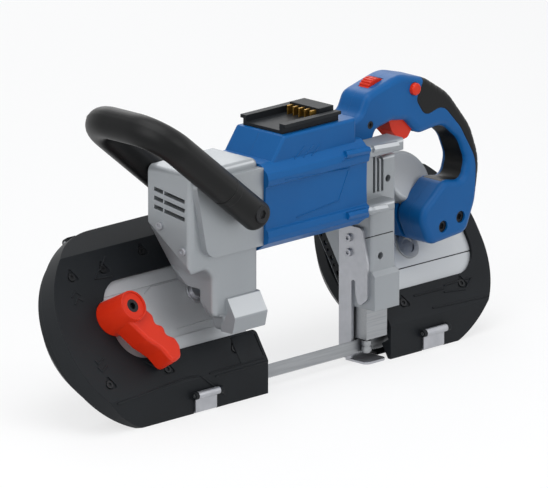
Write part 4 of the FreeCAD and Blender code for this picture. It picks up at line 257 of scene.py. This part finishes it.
# Motor housing and handle shells: deep blue nylon, moulded in halves.
# A fine matt texture with a soft highlight.
BLUE_PATCHES_PER_METRE = 18.0
blue_nylon, tree, place, edge = start_material("deep_blue_nylon")
grain = add_node(tree, "ShaderNodeTexNoise", {}, {"Vector": place, "Scale": 1 / MOULD_GRAIN, "Detail": 2.0})
broad = add_node(tree, "ShaderNodeTexNoise", {},
                 {"Vector": place, "Scale": BLUE_PATCHES_PER_METRE, "Detail": 2.0})
shade = add_node(tree, "ShaderNodeValToRGB", {}, {0: broad.outputs["Fac"]})
shade.color_ramp.elements[0].color = srgb("#034c86")
shade.color_ramp.elements[1].color = srgb("#065794")
bump = add_node(tree, "ShaderNodeBump", {},
                {"Height": grain.outputs["Fac"], "Strength": 0.08, "Distance": 0.0004, "Normal": edge})
skin = add_node(tree, "ShaderNodeBsdfPrincipled", {}, {"Base Color": shade.outputs[0], "Roughness": 0.4,
                                                       "Specular IOR Level": 0.2, "Normal": bump.outputs[0]})
add_node(tree, "ShaderNodeOutputMaterial", {}, {"Surface": skin.outputs[0]})
paint(blue_nylon, "motor_housing_near", "motor_housing_far", "handle_shell_near", "handle_shell_far")

# Handle liner, loop bar and tyres: thermoplastic rubber, moulded on or stretched over.
# Black with a fine grain and little shine.
soft_rubber, tree, place, edge = start_material("black_soft_rubber")
grain = add_node(tree, "ShaderNodeTexNoise", {}, {"Vector": place, "Scale": 1 / MOULD_GRAIN, "Detail": 3.0})
bump = add_node(tree, "ShaderNodeBump", {},
                {"Height": grain.outputs["Fac"], "Strength": 0.2, "Distance": 0.0005, "Normal": edge})
skin = add_node(tree, "ShaderNodeBsdfPrincipled", {}, {"Base Color": srgb("#08090a"), "Roughness": 0.42,
                                                       "Specular IOR Level": 0.2, "Normal": bump.outputs[0]})
add_node(tree, "ShaderNodeOutputMaterial", {}, {"Surface": skin.outputs[0]})
paint(soft_rubber, "handle_liner", "drive_tyre", "idler_tyre", "front_handle_bar")

# Front loop sleeve: a rubber tube slid over the loop bar, moulded in two halves.
# Its parting line stands proud all along the middle, and a groove rings it near each end.
TO_FLOOR = Vector((0, -0.0194266, 0.008))
LOOP_FOOT = Vector((-0.096, -0.0458, 0.173)) + TO_FLOOR
LOOP_TOP = Vector((-0.207, -0.0458, 0.262)) + TO_FLOOR
LOOP_SPAN = 0.0876
LOOP_BEND = 0.030
SLEEVE_RADIUS = 0.0141
SLEEVE_TRIM = 0.034
SLEEVE_SIDES = 48
RING_PLACE = 0.007
RING_SLOPE = 0.0006
RING_WIDTH = 0.0012
RING_SHARE = 0.94
PARTING_RISE = 0.0004
PARTING_SHARE = 0.05
BEND_STEPS = 14
MERGE_GAP = 0.00001
SMOOTH_ANGLE = math.radians(40)
across = Vector((0, 1, 0))


def pick(piece):
    """Makes one object the only one that is selected."""
    bpy.ops.object.select_all(action="DESELECT")
    piece.select_set(True)
    bpy.context.view_layer.objects.active = piece


def extrude(way):
    """Carries the selected face on by one step."""
    bpy.ops.mesh.extrude_region_move(TRANSFORM_OT_translate={"value": way})


def ring_groove(way):
    """A shallow groove round the tube: in, along and out again."""
    for step, share in ((RING_SLOPE, RING_SHARE), (RING_WIDTH, 1.0), (RING_SLOPE, 1 / RING_SHARE)):
        extrude(way * step)
        bpy.ops.transform.resize(value=(share, share, share))


def finish_piece(piece, name, material, body):
    """Names a finished mesh, gives it its material and lets it ride on its body."""
    piece.name = name
    piece.data.materials.clear()
    piece.data.materials.append(material)
    pick(piece)
    bpy.ops.object.transform_apply(location=True, rotation=True, scale=True)
    bpy.ops.object.shade_smooth_by_angle(angle=SMOOTH_ANGLE)
    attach(piece, body)


rise = (LOOP_TOP - LOOP_FOOT).normalized()
side_run = (LOOP_TOP - LOOP_FOOT).length - SLEEVE_TRIM - LOOP_BEND
bpy.ops.mesh.primitive_circle_add(vertices=SLEEVE_SIDES, radius=SLEEVE_RADIUS, fill_type="NGON",
                                  location=LOOP_FOOT + rise * SLEEVE_TRIM,
                                  rotation=rise.to_track_quat("Z", "Y").to_euler())
sleeve = bpy.context.object
bpy.ops.object.transform_apply(location=True, rotation=True, scale=True)
bpy.ops.object.mode_set(mode="EDIT")
bpy.ops.mesh.select_all(action="SELECT")
extrude(rise * RING_PLACE)
ring_groove(rise)
extrude(rise * (side_run - RING_PLACE - 2 * RING_SLOPE - RING_WIDTH))
loop_normal = rise.cross(across)
bend_at = LOOP_FOOT + rise * (SLEEVE_TRIM + side_run) + across * LOOP_BEND
bpy.ops.mesh.spin(steps=BEND_STEPS, angle=-math.pi / 2, center=bend_at, axis=loop_normal)
extrude(across * (LOOP_SPAN - 2 * LOOP_BEND))
bend_at += across * (LOOP_SPAN - 2 * LOOP_BEND)
bpy.ops.mesh.spin(steps=BEND_STEPS, angle=-math.pi / 2, center=bend_at, axis=loop_normal)
extrude(-rise * (side_run - RING_PLACE - 2 * RING_SLOPE - RING_WIDTH))
ring_groove(-rise)
extrude(-rise * RING_PLACE)
bpy.ops.mesh.select_all(action="SELECT")
bpy.ops.mesh.remove_doubles(threshold=MERGE_GAP)
bpy.ops.mesh.normals_make_consistent(inside=False)
bpy.ops.object.mode_set(mode="OBJECT")
for vertex in sleeve.data.vertices:
    if abs((vertex.co - LOOP_FOOT).dot(loop_normal)) < SLEEVE_RADIUS * PARTING_SHARE:
        vertex.co += vertex.normal * PARTING_RISE
finish_piece(sleeve, "front_loop_sleeve", soft_rubber, "frame")
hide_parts("front_handle_grip")

# Back grip of the D-handle: soft rubber moulded into a recess of the blue shells.
# Copied from the CAD skin, rounded by remeshing, with moulded lines sunk across the palm side.
PAD_CELL = 0.0011
LINE_PITCH = 0.0085
LINE_HALF = 0.0011
LINE_DEPTH = 0.0006
PALM_SHARE = 0.25
palm_out = Vector((0.8, 0, 0.6))
line_way = Vector((0.6, 0, -0.8))
pad = bpy.data.objects.new("back_grip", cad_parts["rear_grip_pad"].data.copy())
bpy.context.collection.objects.link(pad)
pick(pad)
bpy.ops.object.mode_set(mode="EDIT")
bpy.ops.mesh.select_all(action="SELECT")
bpy.ops.mesh.remove_doubles(threshold=MERGE_GAP)
bpy.ops.object.mode_set(mode="OBJECT")
pad.data.remesh_voxel_size = PAD_CELL
bpy.ops.object.voxel_remesh()
for vertex in pad.data.vertices:
    off_line = abs((vertex.co.dot(line_way) / LINE_PITCH) % 1.0 - 0.5) * LINE_PITCH
    if vertex.normal.dot(palm_out) > PALM_SHARE and off_line < LINE_HALF:
        vertex.co -= vertex.normal * LINE_DEPTH * (1 - off_line / LINE_HALF)
finish_piece(pad, "back_grip", soft_rubber, "frame")
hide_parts("rear_grip_pad")

# Controls: the tension lever, trigger, lock button and speed dial, orange red acetal.
# Moulded smooth, with a clear highlight.
ORANGE_PATCHES_PER_METRE = 40.0
orange_acetal, tree, place, edge = start_material("orange_red_acetal")
broad = add_node(tree, "ShaderNodeTexNoise", {},
                 {"Vector": place, "Scale": ORANGE_PATCHES_PER_METRE, "Detail": 2.0})
shade = add_node(tree, "ShaderNodeValToRGB", {}, {0: broad.outputs["Fac"]})
shade.color_ramp.elements[0].color = srgb("#c4260c")
shade.color_ramp.elements[1].color = srgb("#d02f12")
skin = add_node(tree, "ShaderNodeBsdfPrincipled", {}, {"Base Color": shade.outputs[0], "Roughness": 0.36,
                                                       "Specular IOR Level": 0.25, "Normal": edge})
add_node(tree, "ShaderNodeOutputMaterial", {}, {"Surface": skin.outputs[0]})
paint(orange_acetal, "tension_lever", "trigger", "lock_button", "speed_dial")

# Inside the housing: copper winding, green circuit board and brass contacts.
# Only the contacts show, between the battery rails.
INNER_CLOUDS_PER_METRE = 300.0
INNER_ROUGH_SPREAD = 0.15
INNER_FINISHES = (("enamelled_copper", "#8a4a26", 0.7, 0.35, "motor_stator"),
                  ("green_circuit_board", "#1c5a34", 0.0, 0.4, "control_board"),
                  ("brass_contact", "#c39a4a", 1.0, 0.28, "battery_contacts"))
for name, code, metal, rough_low, node in INNER_FINISHES:
    inner, tree, place, edge = start_material(name)
    cloud = add_node(tree, "ShaderNodeTexNoise", {},
                     {"Vector": place, "Scale": INNER_CLOUDS_PER_METRE, "Detail": 2.0})
    rough = add_node(tree, "ShaderNodeMapRange", {}, {"Value": cloud.outputs["Fac"], "To Min": rough_low,
                                                      "To Max": rough_low + INNER_ROUGH_SPREAD})
    skin = add_node(tree, "ShaderNodeBsdfPrincipled", {}, {"Base Color": srgb(code), "Metallic": metal,
                                                           "Roughness": rough.outputs[0], "Normal": edge})
    add_node(tree, "ShaderNodeOutputMaterial", {}, {"Surface": skin.outputs[0]})
    paint(inner, node)

# Moulded marks: chevrons, pocket edges and grooves of the bumpers, lines of the housing and deck plates.
# Most are of their carrier's material, formed in the same mould; the rear deck lines are dark black-oxide
# beads, painted shade for the shadow along those lines. Each is a thin bead along a line of photo pixels,
# half sunk into the surface that the line of sight meets.
MARK_STEP = 3.0
MARK_JUMP = 0.012
MARK_STEP_SHARE = 0.1
BUMPER_MARK = 0.0009
HOUSING_MARK = 0.0006
DECK_LINE = 0.0005
BEAD_RADIUS = 0.0035
right = ahead.cross(Vector((0, 0, 1))).normalized()
over = right.cross(ahead)
bpy.context.view_layer.update()


def on_surface(node, pixel):
    """Point of a CAD node that the line of sight through a photo pixel meets first, or None."""
    way = (ahead + right * (pixel[0] - PHOTO_SIZE[0] / 2) / FOCAL_PIXELS
           + over * (PHOTO_SIZE[1] / 2 - pixel[1]) / FOCAL_PIXELS).normalized()
    met, point, _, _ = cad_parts[node].ray_cast(camera.location, way)
    return point if met else None


def moulded_lines(name, node, lines, radius, material):
    """Thin beads along lines of photo pixels, half sunk into a CAD node's surface."""
    beads = bpy.data.curves.new(name, "CURVE")
    beads.dimensions = "3D"
    beads.bevel_depth = radius
    beads.bevel_resolution = 1
    beads.use_fill_caps = True
    for line in lines:
        runs = [[]]
        for start, end in zip(line, line[1:]):
            steps = max(2, round(math.dist(start, end) / MARK_STEP))
            for step in range(steps + 1):
                share = step / steps
                point = on_surface(node, [a + (b - a) * share for a, b in zip(start, end)])
                if point is None:
                    continue
                if runs[-1] and (point - runs[-1][-1]).length > MARK_JUMP:
                    runs.append([])
                if not runs[-1] or (point - runs[-1][-1]).length > radius * MARK_STEP_SHARE:
                    runs[-1].append(point)
        for run in runs:
            if len(run) < 2:
                continue
            strand = beads.splines.new("POLY")
            strand.points.add(len(run) - 1)
            for spot, point in zip(strand.points, run):
                spot.co = (*point, 1.0)
    piece = bpy.data.objects.new(name, beads)
    bpy.context.collection.objects.link(piece)
    pick(piece)
    bpy.ops.object.convert(target="MESH")
    finish_piece(bpy.context.object, name, material, "frame")


FRONT_BUMPER_MARKS = (((71.7, 297.7), (75.1, 291.9), (80.9, 295.4)),
                      ((75.1, 304.9), (77.9, 298.5), (83.2, 301.1)),
                      ((95.0, 360.9), (98.5, 364.6), (103.4, 358.9)),
                      ((97.8, 367.4), (102.4, 371.9), (106.9, 365.8)),
                      ((105.4, 256.4), (94.7, 279.3), (112.3, 276.3)),
                      ((163.6, 359.5), (143.7, 361.2), (165.1, 371.0)),
                      ((209.5, 373.5), (263.1, 357.4)), ((215.6, 376.5), (267.7, 361.2)),
                      ((117.7, 404.1), (185.0, 378.1), (200.3, 375.8), (224.8, 394.9)))
REAR_BUMPER_MARKS = (((419.1, 175.4), (440.6, 189.2), (419.9, 196.1)), ((413.9, 296.0), (444.0, 288.2)),
                     ((444.0, 285.6), (471.6, 277.0), (465.6, 289.1), (444.0, 292.0)),
                     ((432.8, 308.0), (488.0, 296.0)))
HOUSING_MARKS = (((294.5, 159.0), (304.2, 146.4)), ((303.1, 157.3), (313.4, 144.7)),
                 ((311.7, 155.6), (320.3, 144.1)), ((296.2, 217.6), (338.6, 200.4), (348.4, 170.5)),
                 ((285.8, 179.7), (349.6, 168.2)),
                 ((350.7, 149.3), (358.2, 153.9), (342.1, 161.9), (350.7, 149.3)))
FRONT_DECK_MARKS = (((222.5, 315.3), (177.4, 329.1)), ((177.4, 279.3), (151.3, 286.2), (144.4, 293.9)))
REAR_DECK_SHADE_LINES = (((395.8, 270.1), (470.7, 250.3)), ((396.7, 223.6), (420.8, 218.5)),
                   ((363.1, 239.1), (395.8, 230.5)))
TOP_BEAD_END = (((372.5, 149.0), (397.0, 144.6)),)
LOW_BEAD_END = (((366.5, 211.0), (386.0, 207.5)),)
BLUE_BEADS = (((345.0, 154.6), (371.5, 149.2)), ((347.0, 216.0), (366.0, 211.2)))
moulded_lines("front_bumper_marks", "front_bumper", FRONT_BUMPER_MARKS, BUMPER_MARK, charcoal)
moulded_lines("rear_bumper_marks", "rear_bumper", REAR_BUMPER_MARKS, BUMPER_MARK, charcoal)
moulded_lines("housing_marks", "motor_housing_near", HOUSING_MARKS, HOUSING_MARK, blue_nylon)
moulded_lines("housing_beads", "motor_housing_near", BLUE_BEADS, BEAD_RADIUS, blue_nylon)
moulded_lines("top_bead_end", "rear_casting", TOP_BEAD_END, BEAD_RADIUS, cast_silver)
moulded_lines("low_bead_end", "rear_casting", LOW_BEAD_END, BEAD_RADIUS, cast_silver)
moulded_lines("front_deck_lines", "front_casting", FRONT_DECK_MARKS, DECK_LINE, cast_silver)
# Painted shade: the rear deck lines are dark black-oxide beads that stand in for the shadow along lines of
# the silver deck plate.
moulded_lines("rear_deck_painted_shade_lines", "rear_casting", REAR_DECK_SHADE_LINES, DECK_LINE, black_oxide)

# Lower right corner of the front bumper: the real moulding is closed here, glass-filled nylon.
# The CAD piece has a small window, so a thin plate with a bevelled edge is laid over it.
LID_PIXELS = ((230.0, 337.5), (252.5, 331.5), (263.8, 358.0), (241.0, 364.0))
LID_THICK = 0.0016
LID_EDGE = 0.0006
lid_corners = [on_surface("front_bumper", pixel) + deck_out * LID_EDGE for pixel in LID_PIXELS]
lid_mesh = bpy.data.meshes.new("front_bumper_lid")
lid_mesh.from_pydata(lid_corners, [], [(0, 3, 2, 1)])
lid = bpy.data.objects.new("front_bumper_lid", lid_mesh)
bpy.context.collection.objects.link(lid)
pick(lid)
bpy.ops.object.mode_set(mode="EDIT")
bpy.ops.mesh.select_all(action="SELECT")
extrude(-deck_out * LID_THICK)
bpy.ops.mesh.select_all(action="SELECT")
bpy.ops.mesh.normals_make_consistent(inside=False)
bpy.ops.mesh.bevel(offset=LID_EDGE, segments=2)
bpy.ops.object.mode_set(mode="OBJECT")
finish_piece(lid, "front_bumper_lid", charcoal, "frame")
